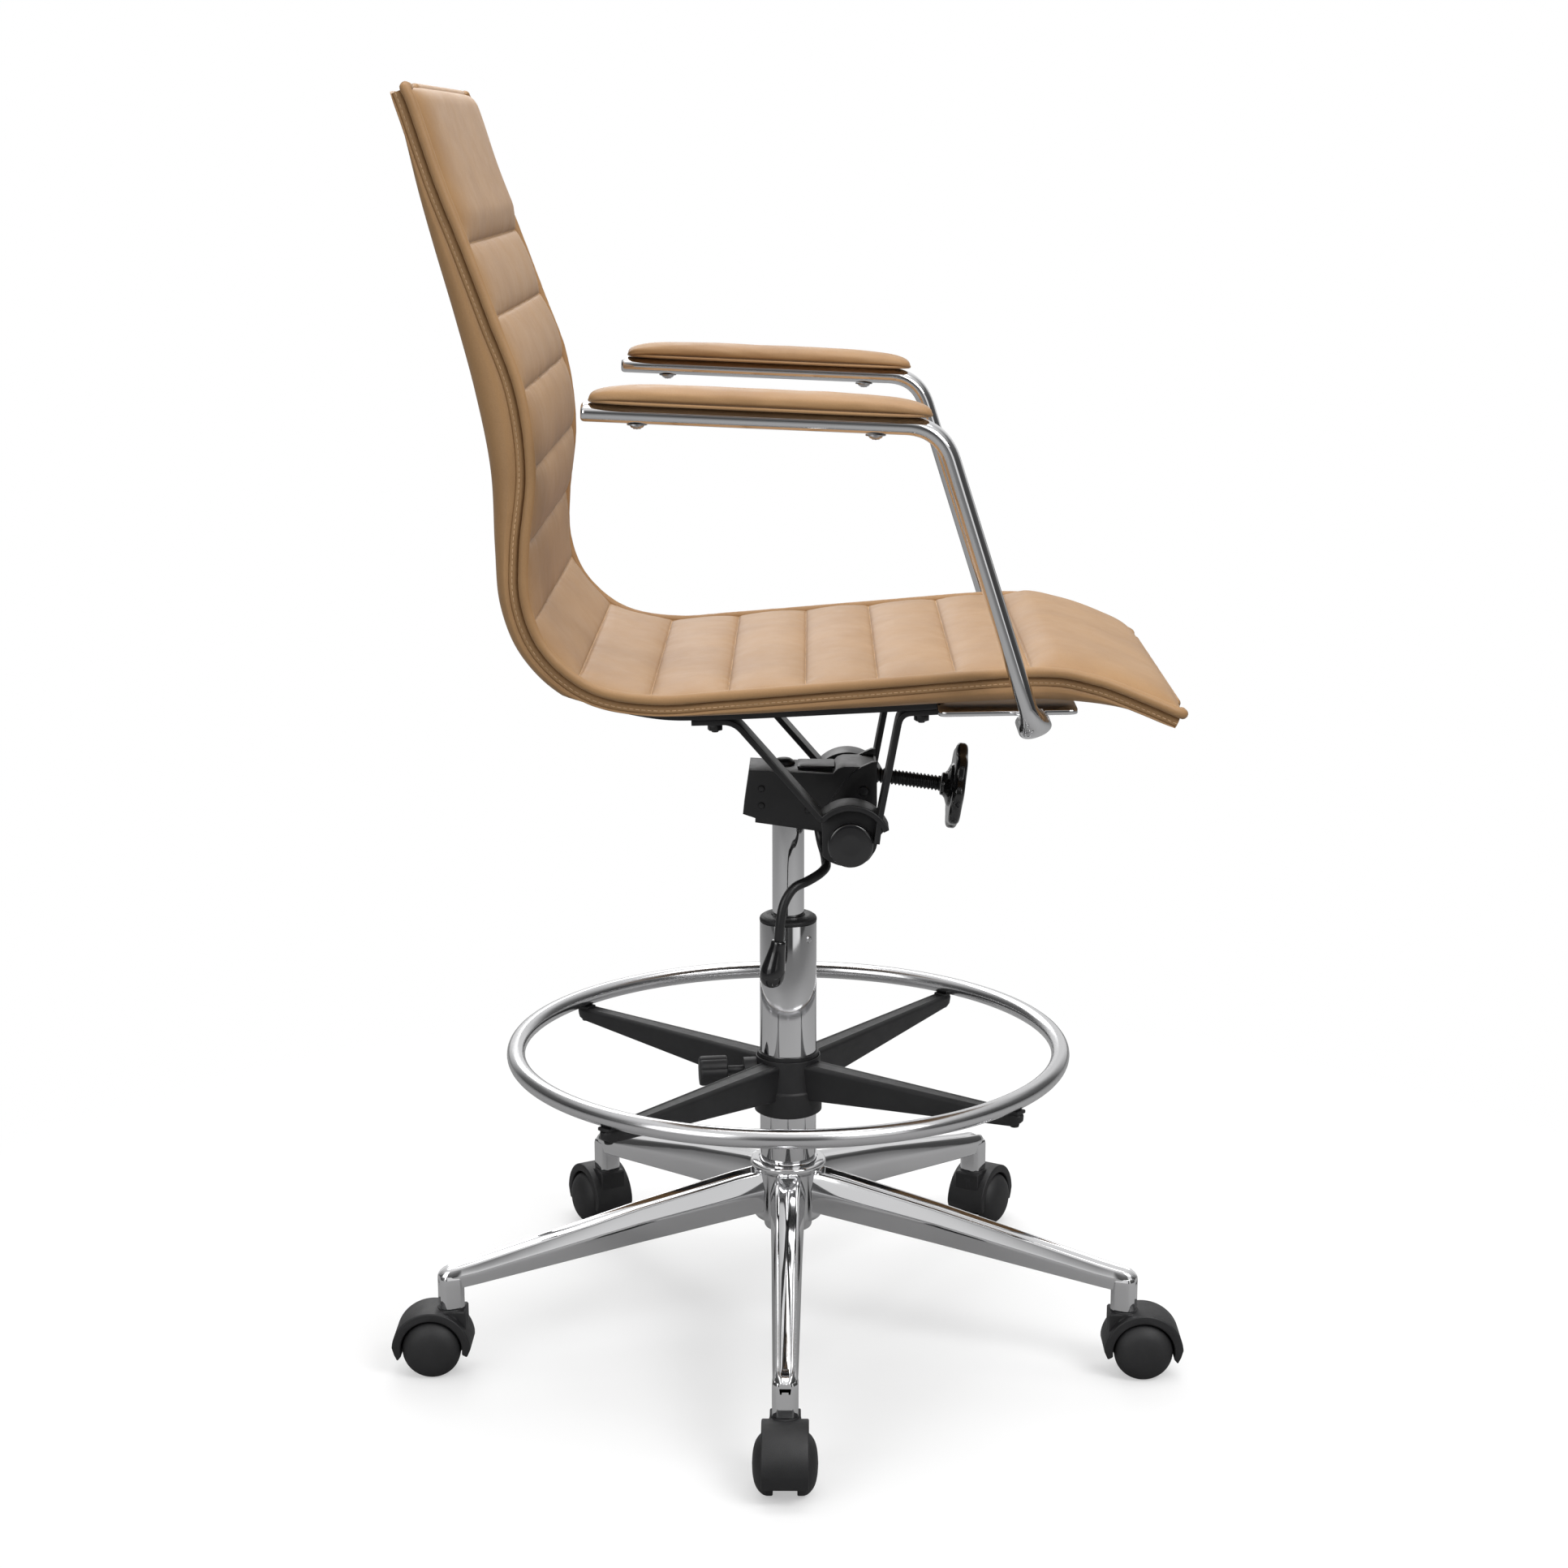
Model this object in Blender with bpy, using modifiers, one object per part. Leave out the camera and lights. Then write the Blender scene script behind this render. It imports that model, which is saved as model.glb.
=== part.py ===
"""Adjustable swivel drafting stool with a ribbed one-piece seat and back.

Metres, +Z up, the sitter faces -Y. The stool is symmetric about its own
middle plane apart from the height lever, the ring's spokes and the clamp
knob. The column stands at (COLUMN_X, 0), so that the middle of the whole
footprint is at the origin.
"""
import bpy
import bmesh
from math import sin, cos, pi, radians, degrees, sqrt, atan2, hypot
from mathutils import Vector, Matrix

# ---------------------------------------------------------------- dimensions
COLUMN_X = 0.0283          # where the column stands
GAP = 0.0003               # working gap between touching pieces

# base
LEG_R = 0.3083             # column to caster stem
LEG_ANGLES = (180, 252, 324, 36, 108)
HUB_TOP_Z = 0.163
HUB_BOTTOM_Z = 0.110
POST_BOTTOM_Z = 0.0605     # underside of the leg's end
LEG_TIP_Z = 0.0925         # top of the leg's end
WHEEL_R = 0.0255
TRAIL = 0.0166             # caster axle behind the stem
HOOD_R = 0.0345            # caster hood about the axle
STEM_R = 0.0052

# column
OUTER_R = 0.025            # 50 mm outer tube
OUTER_TOP_Z = 0.3835
PRESSURE_R = 0.014         # 28 mm pressure tube of the gas lift
PRESSURE_BOTTOM_Z = 0.185
PRESSURE_TOP_Z = 0.503

# foot ring
RING_Z = 0.2672
RING_R = 0.241
RING_TUBE_R = 0.008
SPOKE_ANGLES = (-37.5, 52.5, 142.5, 232.5)
CLAMP_ANGLE = 97.0
RING_HUB_LOW = 0.2095
RING_HUB_TOP = 0.2600

# tilt mechanism (y, z of the cross pivot)
PIVOT_Y, PIVOT_Z = -0.0527, 0.4803
PIVOT_R = 0.0170
STRAP_X, STRAP_W, STRAP_T = 0.105, 0.030, 0.005
SPINDLE_Y, SPINDLE_Z, SPINDLE_SLOPE = -0.0768, 0.5147, radians(7.8)
SPINDLE_R = 0.0065

# seat shell
HALF_WIDTH = 0.195         # to the middle of the piping
ARM_X = 0.240
ARM_PAD_W = 0.046

PIPING = [(0.2890, 1.0915), (0.2828, 1.0745), (0.2650, 1.0200), (0.2475, 0.9745), (0.2268, 0.9180),
          (0.2070, 0.8620), (0.1998, 0.8000), (0.2062, 0.7390), (0.2058, 0.6950), (0.1900, 0.6570),
          (0.1550, 0.6280), (0.1065, 0.6185), (0.0471, 0.6222), (-0.0733, 0.6323), (-0.1948, 0.6416),
          (-0.2440, 0.6355), (-0.2850, 0.6205), (-0.3150, 0.6075)]
BEHIND = [(0.2958, 1.0920), (0.2955, 1.0720), (0.2862, 1.0200), (0.2750, 0.9730), (0.2600, 0.9170),
          (0.2462, 0.8600), (0.2352, 0.7985), (0.2328, 0.7370), (0.2290, 0.6900), (0.2120, 0.6490),
          (0.1760, 0.6160), (0.1150, 0.5985), (0.0560, 0.5968), (-0.0700, 0.6030), (-0.1900, 0.6090),
          (-0.2400, 0.6075), (-0.2800, 0.6030), (-0.3100, 0.5985)]


# ------------------------------------------------------------------- helpers
for old in list(bpy.data.objects):
    bpy.data.objects.remove(old, do_unlink=True)

SCENE = bpy.context.scene.collection
MODEL = bpy.data.collections.new("adjustable_swivel_stool")
CUTTERS = bpy.data.collections.new("cutters")
SCENE.children.link(MODEL)
SCENE.children.link(CUTTERS)


def material(name, rgb, rough, metal=0.0):
    m = bpy.data.materials.new(name)
    m.use_nodes = True
    b = m.node_tree.nodes["Principled BSDF"]
    b.inputs["Base Color"].default_value = (*rgb, 1.0)
    b.inputs["Roughness"].default_value = rough
    b.inputs["Metallic"].default_value = metal
    m.diffuse_color = (*rgb, 1.0)
    return m


CHROME = material("chrome", (0.78, 0.78, 0.80), 0.06, 1.0)
STEEL = material("bright_steel", (0.55, 0.55, 0.57), 0.25, 1.0)
BLACK_STEEL = material("black_painted_steel", (0.025, 0.025, 0.027), 0.40)
BLACK_PLASTIC = material("black_plastic", (0.02, 0.02, 0.022), 0.42)
LEATHER = material("tan_leather", (0.50, 0.30, 0.145), 0.48)
BOARD = material("plywood", (0.50, 0.36, 0.20), 0.60)


def add(name, mesh, mat, coll=MODEL):
    ob = bpy.data.objects.new(name, mesh)
    coll.objects.link(ob)
    if mat:
        mesh.materials.clear()
        mesh.materials.append(mat)
    if coll is CUTTERS:
        ob.hide_render = True
        ob.display_type = "WIRE"
    return ob


def finish_mesh(bm, name):
    bmesh.ops.remove_doubles(bm, verts=bm.verts, dist=1e-6)
    bmesh.ops.recalc_face_normals(bm, faces=bm.faces)
    me = bpy.data.meshes.new(name)
    bm.to_mesh(me)
    bm.free()
    me.shade_smooth()
    me.set_sharp_from_angle(angle=radians(35))
    return me


def evaluated(ob, name):
    """The mesh of a curve or of an object with modifiers, welded, in world space."""
    bpy.context.view_layer.update()
    dg = bpy.context.evaluated_depsgraph_get()
    me = bpy.data.meshes.new_from_object(ob.evaluated_get(dg))
    me.transform(ob.matrix_world)
    bm = bmesh.new()
    bm.from_mesh(me)
    bmesh.ops.remove_doubles(bm, verts=bm.verts, dist=1e-6)
    bpy.data.meshes.remove(me)
    bpy.data.objects.remove(ob, do_unlink=True)
    return finish_mesh(bm, name)


def turned(name, profile, steps=32, matrix=Matrix()):
    """A solid of revolution about local Z: profile is (r, z) down the outer side, closed."""
    me = bpy.data.meshes.new(name + "_profile")
    pts = [(r, 0.0, z) for r, z in profile]
    edges = [(i, i + 1) for i in range(len(pts) - 1)]
    if profile[0][0] > 1e-6:
        edges.append((len(pts) - 1, 0))
    me.from_pydata(pts, edges, [])
    ob = add(name + "_profile", me, None)
    sc = ob.modifiers.new("turn", "SCREW")
    sc.steps = sc.render_steps = steps
    sc.use_merge_vertices = True
    sc.merge_threshold = 0.00001
    sc.use_smooth_shade = True
    ob.matrix_world = matrix
    return evaluated(ob, name)


def outline(name, pts, half, matrix):
    """A flat outline thickened by +-half along the matrix's local Z."""
    cu = bpy.data.curves.new(name, "CURVE")
    cu.dimensions = "2D"
    cu.fill_mode = "BOTH"
    cu.extrude = half
    sp = cu.splines.new("POLY")
    sp.points.add(len(pts) - 1)
    for p, (u, v) in zip(sp.points, pts):
        p.co = (u, v, 0, 1)
    sp.use_cyclic_u = True
    ob = bpy.data.objects.new(name, cu)
    MODEL.objects.link(ob)
    ob.matrix_world = matrix
    return evaluated(ob, name)


def side_plane(x):
    """Local (x, y) is world (y, z) on the plane at distance x from the column."""
    return Matrix(((0, 0, 1, COLUMN_X + x), (1, 0, 0, 0), (0, 1, 0, 0), (0, 0, 0, 1)))


def rod(name, pts, radius, res=3, poly=True, section=None):
    """A round bar or tube along a path; section is a guide curve for other shapes."""
    cu = bpy.data.curves.new(name, "CURVE")
    cu.dimensions = "3D"
    cu.use_fill_caps = True
    if section:
        cu.bevel_mode = "OBJECT"
        cu.bevel_object = section
    else:
        cu.bevel_depth = radius
        cu.bevel_resolution = res
    sp = cu.splines.new("POLY")
    sp.points.add(len(pts) - 1)
    for p, co in zip(sp.points, pts):
        p.co = (*co, 1)
    ob = bpy.data.objects.new(name, cu)
    MODEL.objects.link(ob)
    ob.matrix_world = Matrix.Translation((COLUMN_X, 0, 0))
    return evaluated(ob, name)


def box(name, lo, hi, matrix=None):
    bm = bmesh.new()
    bmesh.ops.create_cube(bm, size=1.0)
    size = Vector(hi) - Vector(lo)
    mid = (Vector(hi) + Vector(lo)) / 2
    bmesh.ops.transform(bm, verts=bm.verts, matrix=Matrix.Translation(mid) @ Matrix.Diagonal((*size, 1)))
    bmesh.ops.transform(bm, verts=bm.verts, matrix=matrix or Matrix.Translation((COLUMN_X, 0, 0)))
    return finish_mesh(bm, name)


def cylinder(name, r, z0, z1, matrix, seg=24):
    bm = bmesh.new()
    bmesh.ops.create_cone(bm, cap_ends=True, segments=seg, radius1=r, radius2=r, depth=z1 - z0)
    bmesh.ops.transform(bm, verts=bm.verts, matrix=matrix @ Matrix.Translation((0, 0, (z0 + z1) / 2)))
    return finish_mesh(bm, name)


def solid(name, mat, first, join=(), cut=()):
    """One piece: its first mesh, with others joined to it and others cut away."""
    ob = add(name, first, mat)
    count = 0
    for op, meshes in (("UNION", join), ("DIFFERENCE", cut)):
        for me in meshes:
            tool = add("%s_tool_%d" % (name, count), me, None, CUTTERS)
            mod = ob.modifiers.new("%s_%d" % (op.lower(), count), "BOOLEAN")
            mod.operation = op
            mod.solver = "EXACT"
            mod.object = tool
            count += 1
    return ob


def at(x, y, z):
    return Matrix.Translation((COLUMN_X + x, y, z))


def along(p, q):
    """A matrix whose local Z runs from p to q, starting at p."""
    p, q = Vector(p) + Vector((COLUMN_X, 0, 0)), Vector(q) + Vector((COLUMN_X, 0, 0))
    return Matrix.Translation(p) @ (q - p).to_track_quat("Z", "Y").to_matrix().to_4x4()


def smooth(points, per=4):
    """Catmull-Rom curve through the points."""
    out = []
    n = len(points)
    for i in range(n - 1):
        p0 = points[max(i - 1, 0)]
        p1, p2 = points[i], points[i + 1]
        p3 = points[min(i + 2, n - 1)]
        for k in range(per):
            t = k / per
            out.append(tuple(0.5 * ((2 * b) + (c - a) * t + (2 * a - 5 * b + 4 * c - d) * t * t
                                    + (3 * b - a - 3 * c + d) * t ** 3)
                             for a, b, c, d in zip(p0, p1, p2, p3)))
    out.append(tuple(points[-1]))
    return out


def resample(pts, n):
    """n + 1 points evenly spaced along a polyline, and its length."""
    acc = [0.0]
    for a, b in zip(pts, pts[1:]):
        acc.append(acc[-1] + hypot(b[0] - a[0], b[1] - a[1]))
    out, j = [], 0
    for i in range(n + 1):
        s = acc[-1] * i / n
        while j < len(acc) - 2 and acc[j + 1] < s:
            j += 1
        t = (s - acc[j]) / (acc[j + 1] - acc[j])
        out.append((pts[j][0] + (pts[j + 1][0] - pts[j][0]) * t, pts[j][1] + (pts[j + 1][1] - pts[j][1]) * t))
    return out, acc[-1]


def offset(pts, d):
    """Move each point by d along the curve's normal; d may be one value per point."""
    out = []
    n = len(pts)
    for i, (y, z) in enumerate(pts):
        a, b = pts[max(i - 1, 0)], pts[min(i + 1, n - 1)]
        ty, tz = b[0] - a[0], b[1] - a[1]
        length = hypot(ty, tz)
        e = d[i] if isinstance(d, list) else d
        out.append((y - e * tz / length, z + e * ty / length))
    return out


def strip(path, t):
    """A closed outline of thickness t around an open path."""
    return offset(path, t / 2) + offset(path, -t / 2)[::-1]


# ------------------------------------------------------------ seat and back
# Going along PIPING from the top of the back to the seat's front edge, the
# sitter is on the side of the negative normal offsets.
edge, edge_len = resample(smooth(PIPING, 6), 92)
behind, _ = resample(smooth(BEHIND, 6), 92)

END_PANEL = 0.124
CHANNELS = 12
pitch = (edge_len - 2 * END_PANEL) / CHANNELS
bulge = []
for i in range(len(edge)):
    s = edge_len * i / (len(edge) - 1)
    if s < END_PANEL:
        u, h = s / END_PANEL, 0.013
    elif s > edge_len - END_PANEL:
        u, h = (s - (edge_len - END_PANEL)) / END_PANEL, 0.013
    else:
        u, h = ((s - END_PANEL) / pitch) % 1.0, 0.011
    bulge.append(-(0.0015 + h * sin(pi * min(max(u, 0), 1)) ** 0.7))
front_face = offset(edge, bulge)
inner, _ = resample(smooth(PIPING, 6), 46)
cushion_back = offset(inner, 0.0045)
add("seat_cushion", outline("seat_cushion", front_face + cushion_back[::-1], HALF_WIDTH, side_plane(0)), LEATHER)

board_front = offset(inner, 0.0045 + GAP)[1:-1]
taper = [0.0120 if 4 < i < len(inner) - 7 else 0.0090 for i in range(len(inner))]
board_back = offset(inner, taper)[1:-1]

solid("seat_shell", BOARD, outline("seat_shell", board_front + board_back[::-1], HALF_WIDTH - 0.010, side_plane(0)))

cover_front = offset(inner, [t + GAP for t in taper])[1:-1]
hind, _ = resample(smooth(BEHIND, 6), 46)


def under(pts, lift):
    """Raise the covering's underside by lift under the seat, to leave room for the panel."""
    out = []
    for y, z in pts:
        k = min(max((0.165 - y) / 0.012, 0.0), 1.0) * min(max((y + 0.300) / 0.010, 0.0), 1.0) if z < 0.64 else 0.0
        out.append((y, z + lift * k))
    return out


cover_back = under(hind[1:-1], 0.0053)
add("rear_cover", outline("rear_cover", cover_front + cover_back[::-1], HALF_WIDTH - 0.004, side_plane(0)), LEATHER)

low = [p for p in hind if p[1] < 0.62 and -0.285 < p[0] < 0.147]
BLOCK = 0.0090              # how far the middle block stands below the plate
panel = outline("underseat_plate", [(y, z + 0.0050) for y, z in low] + low[::-1], 0.170, side_plane(0))


def underside(y):
    for a, b in zip(low, low[1:]):
        if b[0] <= y <= a[0]:
            return a[1] + (b[1] - a[1]) * (y - a[0]) / (b[0] - a[0])
    return low[-1][1]


ARM_BOLT_Y = (-0.139, -0.216)
ARM_FOOT_X = 0.140
bolt_holes = []
for sx in (-1, 1):
    for x, ys in ((STRAP_X, (0.0600, -0.1110)), (ARM_FOOT_X, ARM_BOLT_Y)):
        for y in ys:
            bolt_holes.append(cylinder("hole", 0.0034, -0.03, 0.02, at(sx * x, y, underside(y)), 8))
block_ys = [0.1383 - 0.02987 * k for k in range(10)]
block = outline("underseat_block", [(y, underside(y) + 0.0023) for y in block_ys]
                + [(y, underside(y) - BLOCK) for y in block_ys[::-1]], 0.1250, side_plane(0))
solid("underseat_panel", BLACK_PLASTIC, panel, join=[block], cut=bolt_holes)

# ---------------------------------------------------------------- arm rests
ARM_RAIL = [(0.1530, 0.8508), (0.0350, 0.8458), (-0.0880, 0.8408)]
ARM_FOOT = (-0.1962, 0.6000)


def arm_path(side):
    pts = [(side * ARM_X, y, z) for y, z in ARM_RAIL]
    # front bend, radius 30 mm, between the rail and the leg
    rail = Vector((ARM_RAIL[-1][0] - ARM_RAIL[0][0], ARM_RAIL[-1][1] - ARM_RAIL[0][1])).normalized()
    knee = Vector((-0.1180, 0.8396))
    leg = (Vector((-0.1880, 0.6218)) - knee).normalized()
    for k in range(0, 6):
        t = k / 5
        a, b = knee - rail * 0.026, knee + leg * 0.026
        p = a * (1 - t) ** 2 + knee * 2 * t * (1 - t) + b * t * t
        pts.append((side * ARM_X, p.x, p.y))
    low_y, low_z = knee + leg * ((knee.y - 0.622) / -leg.y)
    pts.append((side * ARM_X, low_y, low_z))
    # foot bend inwards under the seat
    for k in range(1, 6):
        t = k / 5
        a, c, b = Vector((ARM_X, low_y, low_z)), Vector((ARM_X, *ARM_FOOT)), Vector((0.207, *ARM_FOOT))
        p = a * (1 - t) ** 2 + c * 2 * t * (1 - t) + b * t * t
        pts.append((side * p.x, p.y, p.z))
    pts.append((side * 0.177, *ARM_FOOT))
    return pts


def oval(name, a, b, n=16):
    cu = bpy.data.curves.new(name, "CURVE")
    cu.dimensions = "2D"
    sp = cu.splines.new("POLY")
    sp.points.add(n - 1)
    for i, p in enumerate(sp.points):
        t = 2 * pi * i / n
        p.co = (a * cos(t), b * sin(t), 0, 1)
    sp.use_cyclic_u = True
    ob = bpy.data.objects.new(name, cu)
    CUTTERS.objects.link(ob)
    ob.hide_render = True
    ob.display_type = "WIRE"
    return ob


for side, word in ((-1, "right"), (1, "left")):
    path = [Vector(p) for p in arm_path(side)]
    # the flat-oval tube, swept as a loft so that its wide side stays level
    bm = bmesh.new()
    rings = []
    n = 12
    for i, p in enumerate(path):
        t = (path[min(i + 1, len(path) - 1)] - path[max(i - 1, 0)]).normalized()
        wide = Vector((1, 0, 0))
        wide = (wide - t * wide.dot(t))
        if wide.length < 0.15:
            wide = Vector((0, 0, side * 1.0)) - t * t.z * side
        thin = t.cross(wide.normalized()).normalized()
        wide = thin.cross(t).normalized()
        blend_to_foot = min(max((0.622 - p.z) / 0.022, 0.0), 1.0)
        half_wide = 0.0135 * (1 - blend_to_foot) + 0.0072 * blend_to_foot
        half_thin = 0.0073 * (1 - blend_to_foot) + 0.0135 * blend_to_foot
        ring = []
        for k in range(n):
            a = 2 * pi * k / n
            ring.append(bm.verts.new(p + wide * cos(a) * half_wide + thin * sin(a) * half_thin + Vector((COLUMN_X, 0, 0))))
        rings.append(ring)
    for r0, r1 in zip(rings, rings[1:]):
        for k in range(n):
            bm.faces.new((r0[k], r0[(k + 1) % n], r1[(k + 1) % n], r1[k]))
    bm.faces.new(rings[0][::-1])
    bm.faces.new(rings[-1])
    tube = finish_mesh(bm, "arm_tube")
    ys = [-0.1229 - 0.1092 * k / 6 for k in range(7)]
    foot = outline("foot", [(y, underside(y) - GAP) for y in ys] + [(y, underside(y) - 0.0045) for y in ys[::-1]],
                   0.0272, side_plane(side * (ARM_FOOT_X + 0.0138)))
    holes = [cylinder("hole", 0.0034, -0.02, 0.02, at(side * ARM_FOOT_X, y, underside(y)), 8) for y in ARM_BOLT_Y]
    solid("arm_frame_" + word, CHROME, tube, join=[foot], cut=holes)
    # arm pad: a long flat cushion on the rail
    top, under_pts = [], []
    m = 14
    for i in range(m + 1):
        t = i / m
        y = 0.1500 - 0.2610 * t
        z = 0.8510 + (0.8405 - 0.8510) * (0.1530 - y) / 0.2410
        swell = sin(pi * min(max(t * 0.97 + 0.015, 0), 1)) ** 0.35
        top.append((y, z + 0.0082 + 0.0125 * swell))
        under_pts.append((y, z + 0.0077))
    add("arm_pad_" + word, outline("arm_pad_" + word, top + under_pts[::-1], ARM_PAD_W / 2, side_plane(side * ARM_X)), LEATHER)

# fasteners under the seat
def bolt(name, x, y, low_face, reach):
    head = 0.0042
    add(name, turned(name, [(0.0, reach), (0.0029, reach), (0.0029, 0.0), (0.0062, 0.0), (0.0050, -head), (0.0, -head)], 8,
                     at(x, y, low_face)), BLACK_STEEL)


for side, word in ((-1, "right"), (1, "left")):
    for k, y in enumerate((0.0600, -0.1110)):
        bolt("strap_bolt_%s_%d" % (word, k + 1), side * STRAP_X, y, underside(y) - BLOCK - 0.0062, 0.0125)
    for k, y in enumerate(ARM_BOLT_Y):
        bolt("arm_bolt_%s_%d" % (word, k + 1), side * ARM_FOOT_X, y, underside(y) - 0.0055, 0.0097)

# ----------------------------------------------------------- seat straps
C = Vector((PIVOT_Y, PIVOT_Z))
rear_pad_z = underside(0.060) - GAP - STRAP_T / 2
front_pad_z = underside(-0.111) - GAP - STRAP_T / 2
SADDLE_R = 0.0322


def round_corner(a, b, c, r, n=3):
    """Points of a bend near b between the directions to a and c."""
    a, b, c = Vector(a), Vector(b), Vector(c)
    p, q = b + (a - b).normalized() * r, b + (c - b).normalized() * r
    return [tuple(p * (1 - t) ** 2 + b * 2 * t * (1 - t) + q * t * t) for t in [k / n for k in range(n + 1)]]


saddle = [(C.x + SADDLE_R * cos(radians(a)), C.y + SADDLE_R * sin(radians(a))) for a in range(42, 160, 23)]
slope = (underside(0.0450) - underside(0.0790)) / (0.0450 - 0.0790)
rear_start = (0.0790, underside(0.0790) - BLOCK - GAP - STRAP_T / 2)
rear_knee = (0.0440, underside(0.0440) - BLOCK - GAP - STRAP_T / 2)
path_a = [rear_start] + round_corner(rear_start, rear_knee, saddle[0], 0.009) \
    + round_corner(rear_knee, saddle[0], saddle[2], 0.006) + saddle[2:]
front_end = (-0.1280, underside(-0.1280) - BLOCK - GAP - STRAP_T / 2)
front_knee = (-0.0935, underside(-0.0935) - BLOCK - GAP - STRAP_T / 2)
path_b = [(-0.0745, 0.4820), (-0.0768, 0.5020)] + round_corner((-0.0768, 0.5020), front_knee, front_end, 0.008) + [front_end]

for side, word in ((-1, "right"), (1, "left")):
    x = side * STRAP_X
    a = outline("strap_a", strip(path_a, STRAP_T), STRAP_W / 2, side_plane(x))
    b = outline("strap_b", strip(path_b, STRAP_T), STRAP_W / 2 - 0.0004, side_plane(x))
    ring_pts = [(C.x + 0.0312 * cos(radians(a)), C.y + 0.0312 * sin(radians(a))) for a in range(39, 160, 12)]
    ring_pts += [(C.x - 0.0236, C.y + 0.0050), (C.x - 0.0214, C.y - 0.0060), (C.x - 0.0150, C.y - 0.0155), (C.x - 0.0040, C.y - 0.0206),
                 (C.x + 0.0090, C.y - 0.0198), (C.x + 0.0188, C.y - 0.0158), (C.x + 0.0230, C.y - 0.0113)]
    lug = outline("lug", ring_pts, 0.0040, side_plane(x))
    bore = cylinder("bore", PIVOT_R + GAP, -0.03, 0.03,
                    Matrix.Translation((COLUMN_X + x, PIVOT_Y, PIVOT_Z)) @ Matrix.Rotation(pi / 2, 4, "Y"), 24)
    holes = [cylinder("hole", 0.0034, -0.03, 0.02, at(x, y, underside(y)), 8) for y in (0.0600, -0.1110)]
    solid("seat_strap_" + word, BLACK_STEEL, a, join=[b, lug], cut=[bore] + holes)

X_AXIS = Matrix.Rotation(pi / 2, 4, "Y")     # local Z becomes world X
tube_m = at(0, PIVOT_Y, PIVOT_Z) @ X_AXIS
add("pivot_tube", turned("pivot_tube", [(PIVOT_R - 0.0025, 0.1130), (PIVOT_R, 0.1130), (PIVOT_R, -0.1130),
                                        (PIVOT_R - 0.0025, -0.1130)], 24, tube_m), BLACK_STEEL)
for side, word in ((-1, "right"), (1, "left")):
    m = at(side * 0.1134, PIVOT_Y, PIVOT_Z) @ Matrix.Rotation(side * pi / 2, 4, "Y")
    add("pivot_cap_" + word, turned("pivot_cap_" + word, [
        (0.0, 0.0066), (0.0170, 0.0066), (0.0185, 0.0050), (0.0185, 0.0), (0.0136, 0.0), (0.0136, -0.0070), (0.0, -0.0070)], 24, m), BLACK_PLASTIC)

# --------------------------------------------------------------- mechanism
HOUSING_X = 0.0262        # half the box's width
CHEEK_X = 0.0302          # to the outside of the side cheeks
EAR_R = 0.0235


def ring_arc(r, a0, a1, n):
    return [(C.x + r * cos(radians(a0 + (a1 - a0) * k / n)), C.y + r * sin(radians(a0 + (a1 - a0) * k / n))) for k in range(n + 1)]


housing_side = [(0.0334, 0.5242), (0.0390, 0.4854), (0.0283, 0.4818), (0.0284, 0.4780), (-0.0283, 0.4700)] \
    + ring_arc(EAR_R, -18, -190, 9) + [(-0.0768, 0.4950), (-0.0765, 0.5250), (-0.0745, 0.5272), (-0.0480, 0.5272), (-0.0430, 0.5255),
                                      (-0.0385, 0.5208), (-0.0100, 0.5222)]
shell = outline("housing", housing_side, HOUSING_X, side_plane(0))
cheek_side = [(-0.0330, 0.4850), (-0.0345, 0.4930), (-0.0385, 0.5010), (-0.0437, 0.5080), (-0.0485, 0.5145), (-0.0544, 0.5215), (-0.0630, 0.5280),
              (-0.0725, 0.5322), (-0.0762, 0.5322), (-0.0760, 0.4950)] + ring_arc(EAR_R - 0.0004, 168, 348, 11)
cheeks = [outline("cheek", cheek_side, 0.0030, side_plane(sx * (CHEEK_X - 0.0030))) for sx in (-1, 1)]
cavity = outline("cavity", [(0.0303, 0.5214), (0.0357, 0.4870), (0.0262, 0.4600), (-0.0317, 0.4600), (-0.0317, 0.4900),
                            (-0.0400, 0.5008), (-0.0733, 0.5018), (-0.0733, 0.5249), (-0.0485, 0.5249), (-0.0445, 0.5235),
                            (-0.0400, 0.5184), (-0.0100, 0.5196)], HOUSING_X - 0.0031, side_plane(0))
bore = cylinder("bore", PIVOT_R + GAP, -0.07, 0.07, tube_m, 24)
spindle_dir = Vector((0, -cos(SPINDLE_SLOPE), -sin(SPINDLE_SLOPE)))
spindle_base = Vector((0, SPINDLE_Y, SPINDLE_Z))


def spindle_at(d):
    """A frame on the spindle's axis, d metres in front of SPINDLE_Y, local Z forwards."""
    p = spindle_base + spindle_dir * d
    return Matrix.Translation(p + Vector((COLUMN_X, 0, 0))) @ spindle_dir.to_track_quat("Z", "X").to_matrix().to_4x4()


front_hole = cylinder("front_hole", SPINDLE_R + 0.0004, -0.020, 0.020, spindle_at(0.0), 24)
SOCKET_R = 0.0195
solid("mechanism_housing", BLACK_STEEL, shell, join=cheeks, cut=[cavity, bore, front_hole])
socket = turned("column_socket", [
    (0.0, 0.4980), (0.0170, 0.4980), (SOCKET_R, 0.4940), (SOCKET_R, 0.4740), (0.0, 0.4740)], 20, at(0, 0, 0))
floor = outline("floor", [(0.0258, 0.4784), (-0.0205, 0.4724), (-0.0205, 0.4764), (0.0255, 0.4824)], HOUSING_X - 0.0036, side_plane(0))
solid("column_socket", STEEL, socket, join=[floor], cut=[cylinder("socket_bore", PRESSURE_R + GAP, 0.4640, 0.5200, at(0, 0, 0), 24)])

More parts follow.
